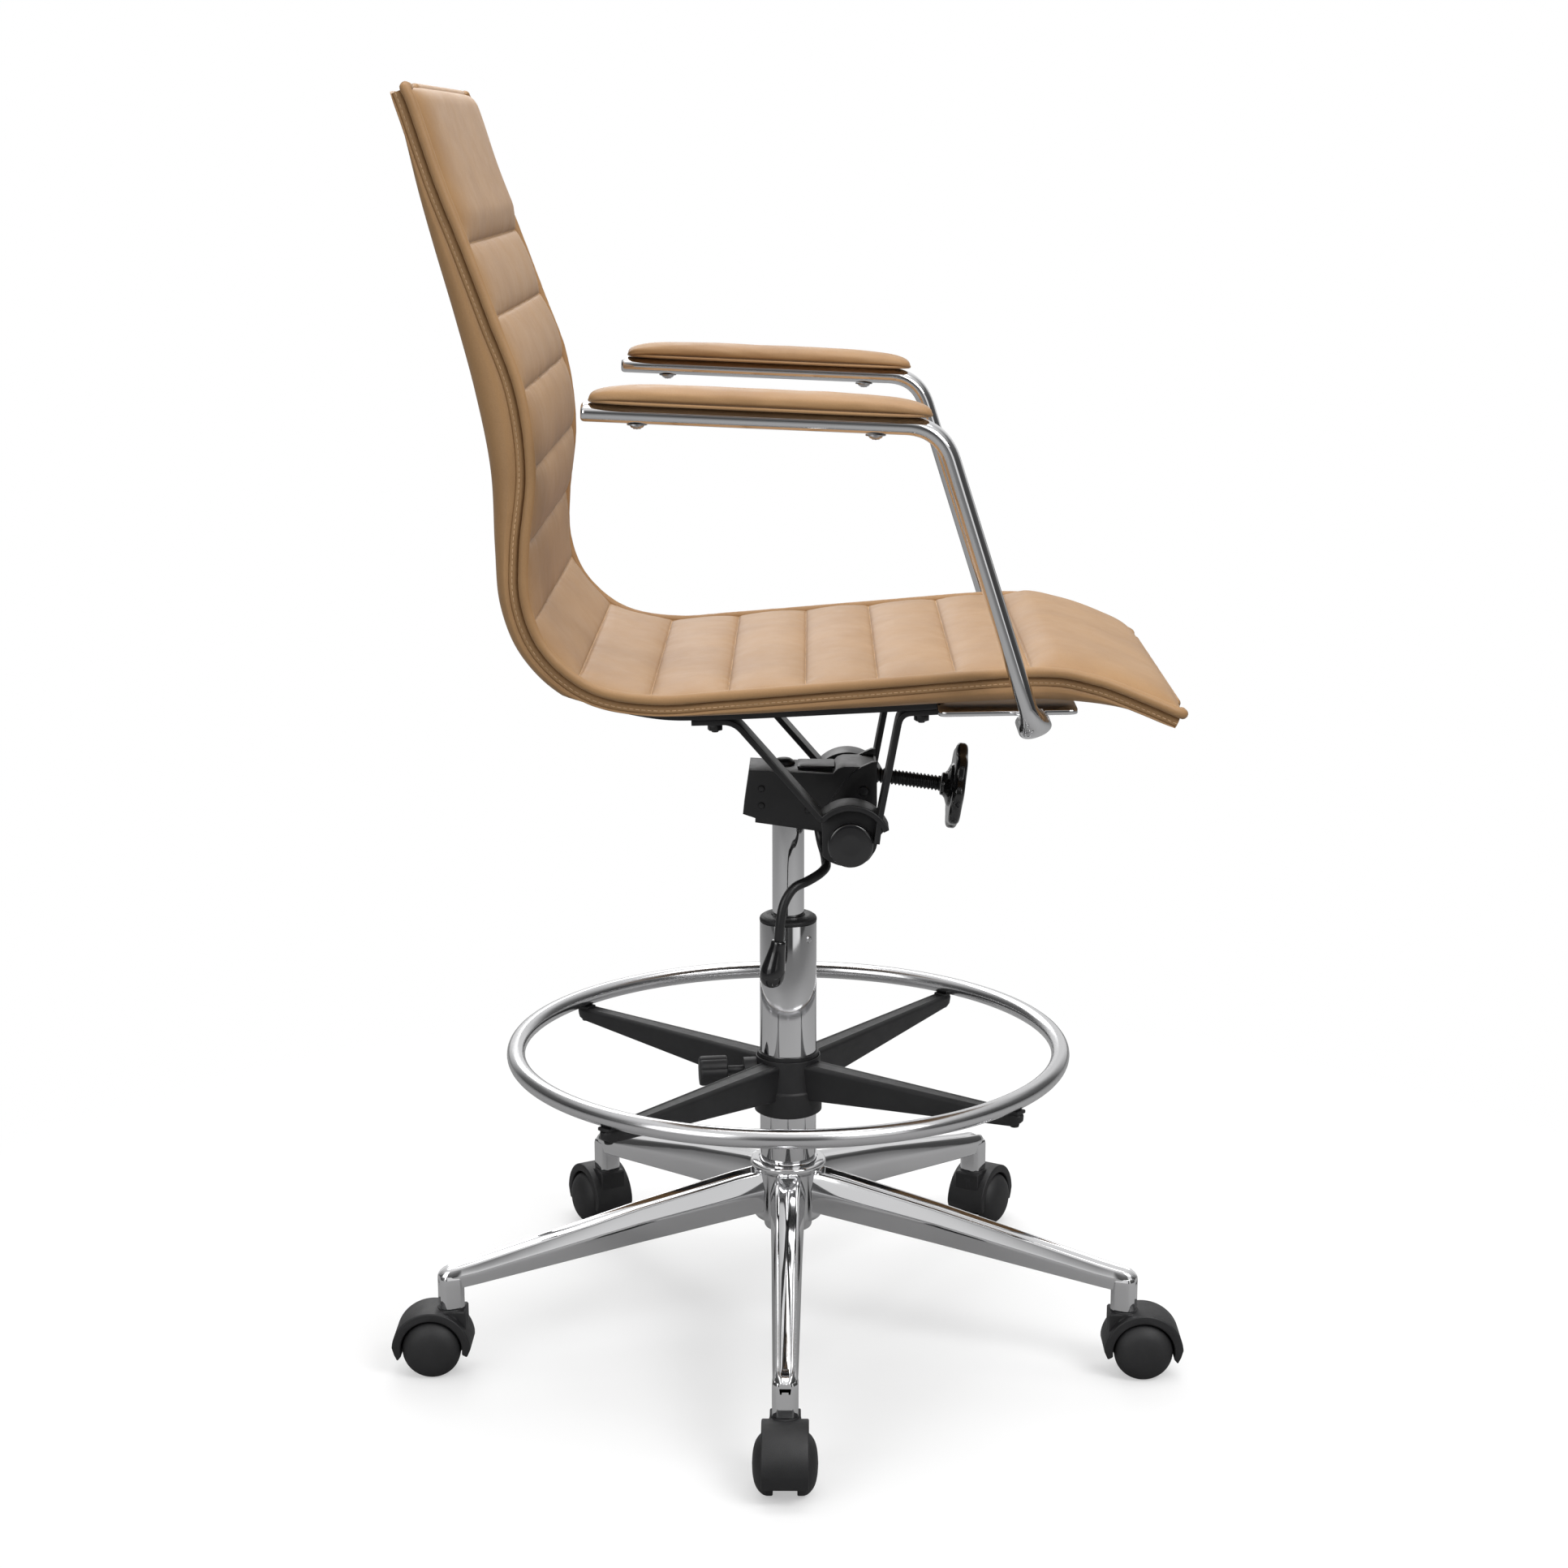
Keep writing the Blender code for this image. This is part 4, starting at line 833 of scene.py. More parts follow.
C = Vector((-0.0527, 0.4803))
SADDLE_R = 0.0322
saddle = [(C.x + SADDLE_R * cos(radians(a)), C.y + SADDLE_R * sin(radians(a))) for a in range(42, 160, 5)]
pad_t = BLOCK + 0.0003 + STRAP_T / 2
rear_pts = [(0.0790, underside(0.0790) - pad_t), (0.0440, underside(0.0440) - pad_t)] + saddle
path_a = rounded(rear_pts, [0, 0.0100, 0.0060] + [0] * 60, 6)
front_pts = [(-0.0745, 0.4820), (-0.0768, 0.5020), (-0.0935, underside(-0.0935) - pad_t), (-0.1280, underside(-0.1280) - pad_t)]
path_b = rounded(front_pts, [0, 0.010, 0.009, 0], 6)
lug = [(C.x + 0.0312 * cos(radians(a)), C.y + 0.0312 * sin(radians(a))) for a in range(39, 160, 5)]
lug += rounded([(C.x - 0.0236, C.y + 0.0050), (C.x - 0.0214, C.y - 0.0060), (C.x - 0.0150, C.y - 0.0155), (C.x - 0.0040, C.y - 0.0206),
                (C.x + 0.0090, C.y - 0.0198), (C.x + 0.0188, C.y - 0.0158), (C.x + 0.0230, C.y - 0.0113)], 0.003, 3)
for side, word in ((-1, "right"), (1, "left")):
    x = side * STRAP_X
    sec = slab(STRAP_W, STRAP_T, 0.0011, 3)
    bm = sweep([(x, y, z) for y, z in path_a], sec, (0, 0, 1))
    sweep([(x, y, z) for y, z in path_b], slab(STRAP_W - 0.0008, STRAP_T, 0.0011, 3), (0, -1, 0), bm=bm)
    merge(bm, plate(lug, 0.0040, side_plane(x), 0.0009, 2))
    put("seat_bracket_" + word, bm, PAINT, "seat", 38, ("seat_strap_" + word,))

X_AXIS = Matrix.Rotation(pi / 2, 4, "Y")
tube_m = at(0, C.x, C.y) @ X_AXIS
put("pivot_tube_turned", lathe([(0.0145, 0.1130), (0.0170, 0.1130), (0.0170, -0.1130), (0.0145, -0.1130)], tube_m, 64, None, 0.0004, 2),
    PAINT, "seat", 35, ("pivot_tube",))
for side, word in ((-1, "right"), (1, "left")):
    m = at(side * 0.1134, C.x, C.y) @ Matrix.Rotation(side * pi / 2, 4, "Y")
    put("pivot_end_cap_" + word, lathe([(0.0, 0.0064), (0.0090, 0.0066), (0.0160, 0.0063), (0.0180, 0.0058), (0.0190, 0.0044), (0.0190, 0.0),
                                        (0.0136, 0.0), (0.0136, -0.0070), (0.0, -0.0070)], m, 72, None, 0.0007, 3),
        GLOSS, "seat", 35, ("pivot_cap_" + word,))

# ----------------------------------------------------------------- mechanism


def copy_of(node_name, name, mat, body, width=0.0007, segments=2, angle=35.0):
    """The frame's own shape with its edges softened."""
    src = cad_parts[node_name]
    me = src.data.copy()
    me.materials.clear()
    me.materials.append(mat)
    ob = bpy.data.objects.new(name, me)
    bpy.context.scene.collection.objects.link(ob)
    bm = bmesh.new()
    bm.from_mesh(me)
    bmesh.ops.remove_doubles(bm, verts=bm.verts, dist=1e-6)
    bmesh.ops.dissolve_limit(bm, angle_limit=radians(1.0), verts=bm.verts, edges=bm.edges)
    bm.to_mesh(me)
    bm.free()
    soften(ob, width, segments, angle)
    ob.data.materials.clear()
    ob.data.materials.append(mat)
    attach(ob, body)
    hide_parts(node_name)
    return ob


copy_of("mechanism_housing", "mechanism_case", PAINT, "carriage", 0.0009, 3)
copy_of("column_socket", "column_socket_cast", ZINC, "carriage", 0.0004, 2)
bm = bmesh.new()
# lock plate and nut on top, rivets and weld on the sides
merge(bm, plate(rounded([(-0.0400, -0.0160), (-0.0080, -0.0160), (-0.0080, 0.0160), (-0.0400, 0.0160)], 0.003, 4, closed=True), 0.0009,
                Matrix(((0, 1, 0, CX + 0.004), (1, 0, 0, 0), (0, 0, 1, 0.5236), (0, 0, 0, 1))), 0.0004, 2))
lathe([(0.0, 0.0048), (0.0060, 0.0044), (0.0092, 0.0024), (0.0100, 0.0), (0.0, 0.0)], at(0.010, 0.0040, 0.5226), 32, bm)
for side in (-1, 1):
    for y, z, r in ((0.0230, 0.5080, 0.0032), (0.0230, 0.4930, 0.0032), (-0.0170, 0.4890, 0.0030)):
        m = at(side * 0.0262, y, z) @ Matrix.Rotation(side * pi / 2, 4, "Y")
        lathe([(0.0, 0.0014), (r * 0.7, 0.0011), (r, 0.0), (0.0, 0.0)], m, 20, bm)
    m = at(side * 0.0302, -0.0650, 0.5070) @ Matrix.Rotation(side * pi / 2, 4, "Y")
    lathe([(0.0, 0.0022), (0.0036, 0.0018), (0.0046, 0.0), (0.0, 0.0)], m, 24, bm)
put("mechanism_fittings", bm, BLACK_NUT, "carriage", 32, ())

SLOPE = radians(7.8)
direction = Vector((0, -cos(SLOPE), -sin(SLOPE)))


def spindle_at(d):
    p = Vector((CX, -0.0768, 0.5147)) + direction * d
    return Matrix.Translation(p) @ direction.to_track_quat("Z", "X").to_matrix().to_4x4()


def threaded(r, amp, pitch, d0, d1, matrix, turns_fade=0.8, seg=28, per=10, bm=None):
    """A rod with a real helical thread between d0 and d1."""
    bm = bm or bmesh.new()
    n = max(int((d1 - d0) / pitch * per), 4)
    rings = []
    for i in range(n + 1):
        d = d0 + (d1 - d0) * i / n
        fade = min(1.0, (d - d0) / (pitch * turns_fade), (d1 - d) / (pitch * turns_fade))
        ring = []
        for k in range(seg):
            a = 2 * pi * k / seg
            ph = (d / pitch - a / (2 * pi)) % 1.0
            tooth = min(max(abs(2 * ph - 1) * 1.5 - 0.25, 0.0), 1.0)
            rr = r - amp * (1 - tooth) * max(fade, 0.0)
            ring.append(matrix @ Vector((rr * cos(a), rr * sin(a), d)))
        rings.append(ring)
    return loft(rings, bm=bm)


base_m = spindle_at(0.0)
bm = threaded(0.0068, 0.0014, 0.0032, -0.0034, 0.0560, base_m)
threaded(0.0050, 0.0009, 0.0024, -0.0265, -0.0032, base_m, bm=bm)
put("tension_screw_thread", bm, BLACK_NUT, "tension_handle", 40, ("tension_screw",))

bm = bmesh.new()
prof = rounded([(0.02, -0.0052), (1.0, -0.0052), (1.0, 0.0052), (0.62, 0.0052), (0.54, 0.0036), (0.02, 0.0036)], [0, 0.11, 0.11, 0.02, 0.02, 0], 6)
prof = []
for q in [(0.02, -0.0050), (0.80, -0.0052)] + [(0.86 + 0.14 * sin(radians(a)), -0.0052 + 0.0036 * (1 - cos(radians(a)))) for a in range(15, 91, 15)] \
        + [(0.86 + 0.14 * cos(radians(a)), 0.0016 + 0.0036 * sin(radians(a))) for a in range(0, 91, 15)] \
        + [(0.72, 0.0052), (0.62, 0.0050), (0.56, 0.0036), (0.02, 0.0034)]:
    prof.append(q)
km = spindle_at(0.0703)
rings = []
for f, d in prof:
    ring = []
    for k in range(96):
        a = 2 * pi * k / 96
        r = (0.0364 + 0.0017 * cos(8 * a) * min(max((f - 0.5) * 2.2, 0), 1)) * f
        ring.append(km @ Vector((r * cos(a), r * sin(a), d)))
    rings.append(ring)
loft(rings, bm=bm)
lathe([(0.0, 0.0660), (0.0205, 0.0660), (0.0180, 0.0632), (0.0125, 0.0610), (0.0102, 0.0590), (0.0098, 0.0566), (0.0, 0.0566)], base_m, 48, bm, 0.0006, 3)
put("tension_hand_knob", bm, GLOSS, "tension_handle", 40, ("tension_knob",))

lever = [(0.0030, 0.0060, 0.5155), (-0.0030, -0.0060, 0.5155), (-0.0085, -0.0165, 0.5155), (-0.0120, -0.0230, 0.5137),
         (-0.0136, -0.0256, 0.5085), (-0.0140, -0.0262, 0.5000), (-0.0140, -0.0262, 0.4760), (-0.0150, -0.0272, 0.4660),
         (-0.0200, -0.0292, 0.4575), (-0.0300, -0.0315, 0.4518), (-0.0430, -0.0325, 0.4488), (-0.0560, -0.0325, 0.4460),
         (-0.0660, -0.0270, 0.4425), (-0.0730, -0.0170, 0.4380), (-0.0790, -0.0066, 0.4344), (-0.0832, -0.0003, 0.4276),
         (-0.0862, 0.0038, 0.4184), (-0.0880, 0.0062, 0.4045), (-0.0880, 0.0075, 0.3870)]
put("height_lever_rod", sweep(smooth(lever, 6), circle(0.0041, 20), (0, 0, 1), round_ends=0.002), PAINT, "lever", 45, ("height_lever",))
p, q = Vector((CX - 0.0880, 0.0072, 0.3895)), Vector((CX - 0.0880, 0.0150, 0.3490))
gm = Matrix.Translation(p) @ (q - p).to_track_quat("Z", "Y").to_matrix().to_4x4()
grip = smooth([(0.0050, -0.0004), (0.0064, 0.0010), (0.0072, 0.0080), (0.0090, 0.0180), (0.0106, 0.0270), (0.0104, 0.0335), (0.0080, 0.0385),
               (0.0040, 0.0412), (0.0008, 0.0418)], 5)
put("lever_drop_grip", lathe([(0.0, -0.0004)] + grip + [(0.0, 0.0418)], gm, 48), GLOSS, "lever", 50, ("lever_grip",))

# -------------------------------------------------------------------- column
zero = at(0, 0, 0)
put("outer_tube_chrome", lathe([(0.0224, 0.3835), (0.0250, 0.3835), (0.0250, 0.1120), (0.0060, 0.1120), (0.0060, 0.1150), (0.0224, 0.1150)],
                               zero, 112, None, 0.0005, 2), CHROME, "base", 35, ("outer_tube",))
put("guide_bush_turned", lathe([(0.0143, 0.3885), (0.0150, 0.3893), (0.0196, 0.3895), (0.0222, 0.3888), (0.0246, 0.3872), (0.0252, 0.3858), (0.0252, 0.3838),
                                (0.0220, 0.3838), (0.0220, 0.3000), (0.0143, 0.3000)], zero, 96, None, 0.0004, 2),
    NYLON, "base", 35, ("guide_bush",))
put("pressure_tube_chrome", lathe([(0.0038, 0.5030), (0.0120, 0.5030), (0.0140, 0.5000), (0.0140, 0.1850), (0.0055, 0.1850), (0.0055, 0.1950),
                                   (0.0123, 0.1950), (0.0123, 0.4970), (0.0038, 0.4970)], zero, 96, None, 0.0004, 2),
    CHROME, "carriage", 35, ("pressure_tube",))
bm = bmesh.new()
n = Vector((-0.0168, -0.0185, 0)).normalized()
sm = Matrix.Translation(Vector((CX, 0, 0.3705)) + n * 0.0247) @ n.to_track_quat("Z", "Y").to_matrix().to_4x4()
pan_screw(bm, sm, 0.0034, 0.0014)
put("tube_screw", bm, ZINC, "base", 35, ())

# ----------------------------------------------------------------- foot ring
RING_Z, RING_R, RING_T = 0.2672, 0.241, 0.008
rings = []
for i in range(176):
    a = 2 * pi * i / 176
    rings.append([Vector((CX + (RING_R + RING_T * cos(b)) * cos(a), (RING_R + RING_T * cos(b)) * sin(a), RING_Z + RING_T * sin(b)))
                  for b in [2 * pi * k / 24 for k in range(24)]])
put("foot_ring_tube", loft(rings, closed=True), SATIN, "ring_frame", 0, ("foot_ring",))

bm = bmesh.new()
lathe([(0.0274, 0.2605), (0.0288, 0.2605), (0.0288, 0.2320), (0.0300, 0.2305), (0.0300, 0.2095), (0.0274, 0.2095)], zero, 80, bm, 0.0006, 3)
top_out = RING_Z - RING_T - 0.0003
for ang in (-37.5, 52.5, 142.5, 232.5):
    m = at(0, 0, 0) @ Matrix.Rotation(radians(ang), 4, "Z")
    rings = []
    stations = [0.0270, 0.0320, 0.06, 0.10, 0.14, 0.18, 0.215, 0.232, 0.2400, 0.2450, 0.2475, 0.2485]
    for x in stations:
        f = (x - 0.0281) / (0.2485 - 0.0281)
        wt, wb = 0.0112 + (0.0072 - 0.0112) * f, 0.0080 + (0.0056 - 0.0080) * f
        zt, zb = 0.2577 + (top_out - 0.2577) * f, 0.2240 + (top_out - 0.0120 - 0.2240) * f
        e = max(0.0, (x - 0.2400) / 0.0090)
        k = sqrt(max(1 - e * e, 0.04))
        zm = (zt + zb) / 2 + 0.001
        sec = rounded([(-wb, zb), (wb, zb), (wt, zt - 0.0026), (wt * 0.62, zt), (wt * 0.45, zt - 0.0009), (-wt * 0.45, zt - 0.0009),
                       (-wt * 0.62, zt), (-wt, zt - 0.0026)], [0.0016, 0.0016, 0.0018, 0.0010, 0.0008, 0.0008, 0.0010, 0.0018], 3, closed=True)
        rings.append([m @ Vector((x, y * k, zm + (z - zm) * k)) for y, z in sec])
    loft(rings, bm=bm)
    # clip that holds the ring, and its screw below
    cm = m @ Matrix.Translation((RING_R, 0, top_out - 0.0005))
    merge(bm, plate(rounded([(-0.0075, -0.0060), (0.0075, -0.0060), (0.0075, 0.0060), (-0.0075, 0.0060)], 0.002, 3, closed=True), 0.0013, cm, 0.0005, 2))
    lathe([(0.0, 0.0026), (0.0036, 0.0022), (0.0042, 0.0), (0.0, 0.0)], m @ Matrix.Translation((RING_R, 0, top_out - 0.0118)) @ DOWN, 20, bm)
knob_dir = Vector((cos(radians(97)), sin(radians(97)), 0))
knob_m = Matrix.Translation(Vector((CX, 0, 0.2470))) @ knob_dir.to_track_quat("Z", "Y").to_matrix().to_4x4()
lathe([(0.0043, 0.0282), (0.0112, 0.0282), (0.0110, 0.0400), (0.0043, 0.0400)], knob_m, 40, bm, 0.0006, 3)
put("ring_spider_cast", bm, NYLON, "ring_frame", 38, ("foot_ring_spider",))

bm = bmesh.new()
lathe([(0.0, 0.0276), (0.0040, 0.0276), (0.0040, 0.0550), (0.0, 0.0550)], knob_m, 28, bm)
rings = []
for f, d in [(0.05, 0.0546)] + [(0.86 + 0.14 * sin(radians(a)), 0.0546 + 0.0018 * (1 - cos(radians(a)))) for a in range(0, 91, 18)] \
        + [(0.86 + 0.14 * cos(radians(a)), 0.0760 + 0.0034 * sin(radians(a))) for a in range(0, 91, 15)] + [(0.5, 0.0797), (0.05, 0.0799)]:
    ring = []
    for k in range(96):
        a = 2 * pi * k / 96
        r = (0.0131 + 0.0009 * (abs(cos(4 * a)) ** 0.6 - 0.5) * min(max((f - 0.4) * 2, 0), 1)) * f
        ring.append(knob_m @ Vector((r * cos(a), r * sin(a), d)))
    rings.append(ring)
loft(rings, bm=bm)
put("clamp_grip", bm, NYLON, "clamp", 40, ("clamp_knob",))

# ---------------------------------------------------------------------- base
LEG_R = 0.3083
bm = bmesh.new()
lathe([(0.0253, 0.1630), (0.0268, 0.1634), (0.0322, 0.1632), (0.0336, 0.1618), (0.0338, 0.1590), (0.0330, 0.1568), (0.0308, 0.1545), (0.0304, 0.1300),
       (0.0304, 0.1130), (0.0296, 0.1104), (0.0285, 0.1098), (0.0218, 0.1098), (0.0214, 0.1010), (0.0206, 0.0992), (0.0150, 0.0990), (0.0150, 0.1117), (0.0253, 0.1117)],
      zero, 112, bm, 0.0005, 2)


def leg_station(r):
    keys = [(0.0270, 0.0126, 0.0160, 0.1182, 0.1375, 0.1560, 0.1515, 0.026), (0.0500, 0.0122, 0.0154, 0.1150, 0.1345, 0.1525, 0.1482, 0.024),
            (0.1400, 0.0106, 0.0134, 0.1023, 0.1200, 0.1345, 0.1310, 0.016), (0.2860, 0.0092, 0.0110, 0.0808, 0.0920, 0.1010, 0.0990, 0.006),
            (0.3060, 0.0090, 0.0106, 0.0782, 0.0895, 0.0970, 0.0955, 0.003)]
    for a, b in zip(keys, keys[1:]):
        if r <= b[0] or b is keys[-1]:
            t = (r - a[0]) / (b[0] - a[0])
            return [u + (v - u) * t for u, v in zip(a, b)][1:]


for ang in LEG_ANGLES:
    m = at(0, 0, 0) @ Matrix.Rotation(radians(ang), 4, "Z")
    rings = []
    spots = [0.0270, 0.034, 0.042, 0.05, 0.07, 0.10, 0.14, 0.18, 0.22, 0.26, 0.286, 0.300, 0.308, 0.3130, 0.3165, 0.3183, 0.3189]
    for r in spots:
        wf, ws, zl, zs, zr, zg, deep = leg_station(min(r, 0.3060))
        e = max(0.0, (r - 0.3060) / 0.0131)
        k = sqrt(max(1 - e * e, 0.0)) if e > 0 else 1.0
        drop = 0.0040 * e * e
        zr, zg, zs = zr - drop, zg - drop * 0.8, zs - drop * 0.5
        wall = 0.0030
        sec = rounded([(-wf, zl), (-wf + wall, zl), (-wf + wall * 1.1, zl + deep), (wf - wall * 1.1, zl + deep), (wf - wall, zl), (wf, zl),
                       (ws, zs), (ws * 0.72, zr - 0.0016), (ws * 0.55, zr), (ws * 0.34, zr - 0.0016), (0.0, zg),
                       (-ws * 0.34, zr - 0.0016), (-ws * 0.55, zr), (-ws * 0.72, zr - 0.0016), (-ws, zs)],
                      [0.0008, 0.0008, 0.0010, 0.0010, 0.0008, 0.0008, 0.0030, 0.0030, 0.0016, 0.0020, 0.0040, 0.0020, 0.0016, 0.0030, 0.0030], 3, closed=True)
        mid = 0.086
        rings.append([m @ Vector((r, y * (0.35 + 0.65 * k), mid + (z - mid) * (0.55 + 0.45 * k) if e > 0 else z)) for y, z in sec])
    loft(rings, bm=bm)
    # post for the caster, square with broad chamfers
    pm = m @ Matrix.Translation((LEG_R, 0, 0))
    a, b = 0.0106, 0.0066
    octo = rounded([(a, -b), (a, b), (b, a), (-b, a), (-a, b), (-a, -b), (-b, -a), (b, -a)], 0.0011, 3, closed=True)
    rings = []
    for z, f in ((0.0605, 0.950), (0.0609, 0.985), (0.0617, 1.0), (0.0700, 1.0), (0.0800, 1.0), (0.0860, 1.0), (0.0885, 0.97), (0.0900, 0.90)):
        rings.append([pm @ Vector((x * f, y * f, z)) for x, y in octo])
    loft(rings, bm=bm)
put("star_base_polished", bm, CHROME, "base", 30, ("star_base",))

# ------------------------------------------------------------------- casters
TRAIL, WHEEL_R = 0.0166, 0.0255
HEADINGS = (180, 270, 330, 30, 90)      # which way each caster trails
for k, ang in enumerate(LEG_ANGLES):
    n = k + 1
    cm = at(0, 0, 0) @ Matrix.Rotation(radians(ang), 4, "Z") @ Matrix.Translation((LEG_R, 0, 0)) \
        @ Matrix.Rotation(radians(HEADINGS[k] - ang), 4, "Z")
    side_m = cm @ Matrix(((1, 0, 0, TRAIL), (0, 0, -1, 0), (0, 1, 0, WHEEL_R), (0, 0, 0, 1)))
    axle_m = cm @ Matrix.Translation((TRAIL, 0, WHEEL_R)) @ Matrix.Rotation(-pi / 2, 4, "X")
    # cover: outer skin from the pointed front skirt over the top and straight down on the stem's side
    outer = [(0.0298, -0.0098), (0.0326, -0.0040)] + [(0.0345 * cos(radians(a)), 0.0345 * sin(radians(a))) for a in range(4, 173, 4)] \
        + [(-0.0342, 0.0010), (-0.0312, -0.0060)]
    inner = [(0.0268 * cos(radians(a)), 0.0268 * sin(radians(a))) for a in range(188, -13, -4)]
    bm = plate(outer + inner, 0.0190, side_m, 0.0013, 3)
    # block round the stem, narrower than the cover
    block = [(-0.0302, 0.0060), (-0.0300, 0.0320), (-0.0286, 0.0335), (-0.0060, 0.0335)] \
        + [(0.0290 * cos(radians(a)), 0.0290 * sin(radians(a))) for a in range(92, 165, 6)]
    merge(bm, plate(block, 0.0125, side_m, 0.0012, 3))
    web = [(0.0285 * cos(radians(a)), 0.0285 * sin(radians(a))) for a in range(0, 181, 8)] + \
        rounded([(-0.0285, 0.0), (-0.0215, -0.0110), (-0.0090, -0.0170), (0.0090, -0.0170), (0.0215, -0.0110), (0.0285, 0.0)], 0.004, 3)[1:-1]
    merge(bm, plate(web, 0.0062, side_m, 0.0006, 2))
    lathe([(0.0054, 0.0602), (0.0118, 0.0602), (0.0124, 0.0592), (0.0128, 0.0560), (0.0140, 0.0520), (0.0140, 0.0420), (0.0054, 0.0420)], cm, 48, bm, 0.0005, 2)
    lathe([(0.0, 0.0200), (0.0030, 0.0200), (0.0030, -0.0200), (0.0, -0.0200)], axle_m, 24, bm)
    put("caster_%d_cover" % n, bm, NYLON, "caster_%d" % n, 36, ("caster_%d_hood" % n,))
    put("caster_%d_pin" % n, lathe([(0.0, 0.0835), (0.0042, 0.0835), (0.0052, 0.0820), (0.0052, 0.0420), (0.0, 0.0420)], cm, 32, None, 0.0004, 2),
        ZINC, "caster_%d" % n, 35, ("caster_%d_stem" % n,))
    for word, flip in (("a", 0.0), ("b", pi)):
        wm = axle_m @ Matrix.Rotation(flip, 4, "X")
        prof = [(0.0, 0.0264)] + smooth([(0.0005, 0.0264), (0.0090, 0.0258), (0.0160, 0.0242), (0.0208, 0.0216), (0.0238, 0.0186), (0.0252, 0.0158), (0.0255, 0.0135)], 4) \
            + [(0.0255, 0.0106), (0.0249, 0.0098), (0.0034, 0.0098), (0.0034, 0.0206), (0.0, 0.0206)]
        put("caster_%d_tyre_%s" % (n, word), lathe(prof, wm, 72), TREAD, "caster_%d_%s" % (n, word), 35, ("caster_%d_wheel_%s" % (n, word),))

# inner pieces keep their frame shapes and take the finished metals
for name, mat in (("piston_rod", ZINC), ("thrust_bearing", ZINC), ("release_pin", ZINC), ("tension_nut", ZINC), ("tilt_spring", ZINC), ("ring_liner", NYLON)):
    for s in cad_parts[name].material_slots:
        s.material = mat

# -------------------------------------------------------------- stage
def area_light(name, loc, target, size, power, color=(1, 1, 1), size_y=None):
    li = bpy.data.lights.new(name, "AREA")
    li.energy = power
    li.color = color
    li.shape = "RECTANGLE"
    li.size = size
    li.size_y = size_y or size
    ob = bpy.data.objects.new(name, li)
    ob.location = loc
    ob.rotation_euler = (Vector(target) - Vector(loc)).to_track_quat("-Z", "Y").to_euler()
    bpy.context.scene.collection.objects.link(ob)
    return ob


floor_mesh = bpy.data.meshes.new("floor")
floor_mesh.from_pydata([(-30, -30, 0), (30, -30, 0), (30, 30, 0), (-30, 30, 0)], [], [(0, 1, 2, 3)])
floor = bpy.data.objects.new("floor", floor_mesh)
bpy.context.scene.collection.objects.link(floor)
fm, nt, b, out = nodes_of("floor_paper")
v = coords(nt)
nt.links.new(ramp(nt, noise_tex(nt, v, 3.0, 2.0), [(0.3, (0.93, 0.93, 0.93)), (0.7, (0.95, 0.95, 0.95))]), b.inputs["Base Color"])
b.inputs["Roughness"].default_value = 0.75
b.inputs["Specular IOR Level"].default_value = 0.15
# the paper runs out into white away from the stool through a painted glow (white emission mixed in, rising with
# distance), and to every ray but the camera's it is a darker grey copy: painted shade, read as a darker room in the
# metal
painted_glow = node(nt, "ShaderNodeEmission")
painted_glow.inputs["Color"].default_value = (1, 1, 1, 1)
span = node(nt, "ShaderNodeVectorMath", operation="LENGTH")
nt.links.new(node(nt, "ShaderNodeTexCoord").outputs["Object"], span.inputs[0])
# painted glow mix: 0.30 under the stool, rising to full white about 1 m out
far = ramp(nt, span.outputs["Value"], [(0.0, (0.30, 0.30, 0.30)), (0.30, (0.42, 0.42, 0.42)), (0.70, (0.85, 0.85, 0.85)), (1.0, (1, 1, 1))])
fade = node(nt, "ShaderNodeMixShader")
nt.links.new(far, fade.inputs["Fac"])
nt.links.new(b.outputs[0], fade.inputs[1])
nt.links.new(painted_glow.outputs[0], fade.inputs[2])
# painted shade: a dark grey diffuse copy of the floor, seen in reflections and bounce light instead of the lit paper
painted_dark_floor = node(nt, "ShaderNodeBsdfDiffuse")
painted_dark_floor.inputs["Color"].default_value = (0.30, 0.30, 0.30, 1)
seen = node(nt, "ShaderNodeLightPath")
pick = node(nt, "ShaderNodeMixShader")
nt.links.new(seen.outputs["Is Camera Ray"], pick.inputs["Fac"])
nt.links.new(painted_dark_floor.outputs[0], pick.inputs[1])
nt.links.new(fade.outputs[0], pick.inputs[2])
nt.links.new(pick.outputs[0], out.inputs["Surface"])
floor_mesh.materials.append(fm)

world = bpy.data.worlds.new("studio")
bpy.context.scene.world = world
world.use_nodes = True
nt = world.node_tree
bg = nt.nodes["Background"]
wout = nt.nodes["World Output"]
tc = node(nt, "ShaderNodeTexCoord")
sep = node(nt, "ShaderNodeSeparateXYZ")
nt.links.new(tc.outputs["Generated"], sep.inputs["Vector"])
at2 = node(nt, "ShaderNodeMath", operation="ARCTAN2")
nt.links.new(sep.outputs["Y"], at2.inputs[0])
nt.links.new(sep.outputs["X"], at2.inputs[1])
div = node(nt, "ShaderNodeMath", operation="MULTIPLY_ADD")
nt.links.new(at2.outputs[0], div.inputs[0])
div.inputs[1].default_value = 1 / (2 * pi)
div.inputs[2].default_value = 0.5


def grey(x):
    return (x, x, x)


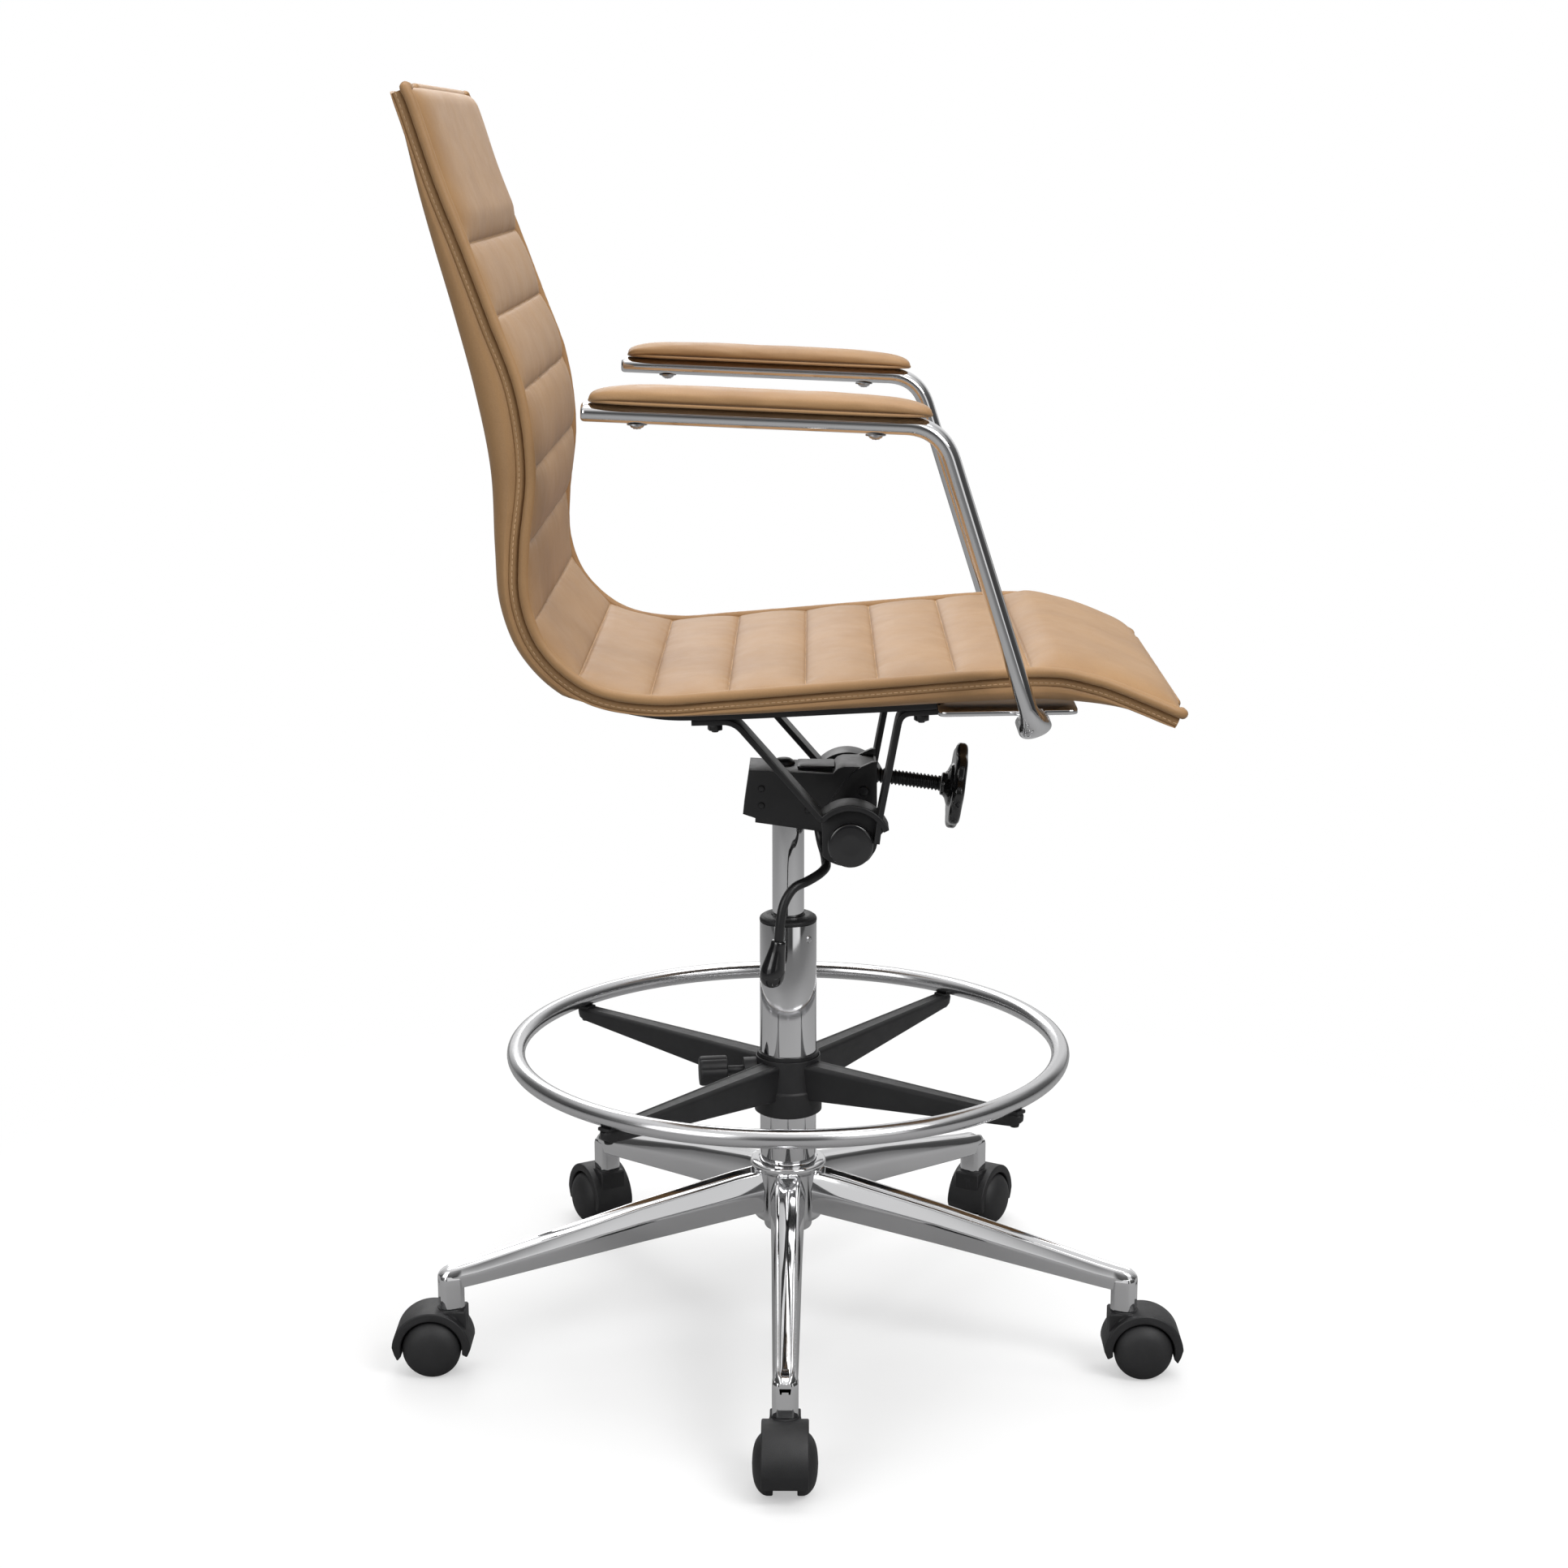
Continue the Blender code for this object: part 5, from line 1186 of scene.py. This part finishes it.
# round the room, starting and ending behind the camera; 0.25 is the picture's right, 0.75 its left
around = ramp(nt, div.outputs[0], [(0.0, grey(0.08)), (0.045, grey(0.05)), (0.06, grey(0.85)), (0.125, grey(1.0)), (0.145, grey(0.07)),
                                   (0.25, grey(0.03)), (0.37, grey(0.10)), (0.44, grey(0.95)), (0.56, grey(0.95)), (0.63, grey(0.10)),
                                   (0.74, grey(0.03)), (0.84, grey(0.10)), (0.86, grey(1.0)), (0.935, grey(0.9)), (0.955, grey(0.07)), (1.0, grey(0.08))])
height = ramp(nt, sep.outputs["Z"], [(0.0, grey(0.0)), (0.45, grey(0.10)), (0.85, grey(1.0))])
mixw = node(nt, "ShaderNodeMix", data_type="RGBA", blend_type="MIX")
nt.links.new(height, mixw.inputs["Factor"])
nt.links.new(around, mixw.inputs[6])
mixw.inputs[7].default_value = (1.0, 1.0, 1.0, 1.0)
nt.links.new(mixw.outputs[2], bg.inputs["Color"])
bg.inputs["Strength"].default_value = 0.85
white = node(nt, "ShaderNodeBackground")
white.inputs["Color"].default_value = (1, 1, 1, 1)
white.inputs["Strength"].default_value = 1.0
lp = node(nt, "ShaderNodeLightPath")
mx = node(nt, "ShaderNodeMixShader")
nt.links.new(lp.outputs["Is Camera Ray"], mx.inputs["Fac"])
nt.links.new(bg.outputs[0], mx.inputs[1])
nt.links.new(white.outputs[0], mx.inputs[2])
nt.links.new(mx.outputs[0], wout.inputs["Surface"])

area_light("key", (CX - 1.7, -1.5, 2.3), (CX, 0, 0.65), 1.3, 42)
area_light("fill", (CX - 1.9, 1.6, 1.5), (CX, 0, 0.6), 1.4, 14)
area_light("top", (CX + 0.3, -0.2, 3.0), (CX, 0, 0.4), 1.8, 34)
area_light("back", (CX + 2.0, 0.6, 1.8), (CX, 0, 0.6), 1.4, 14)

bpy.context.scene.view_settings.view_transform = "Standard"

cam_data = bpy.data.cameras.new("camera")
cam = bpy.data.objects.new("camera", cam_data)
bpy.context.scene.collection.objects.link(cam)
cam_data.sensor_width = 36.0
cam_data.lens = 64.88
cam_data.clip_end = 100
cam.location = (CX - 2.39994, -0.01724, 1.0487)
cam.rotation_euler = (radians(90 - 12.737), 0, radians(-90 + 0.5))
bpy.context.scene.camera = cam
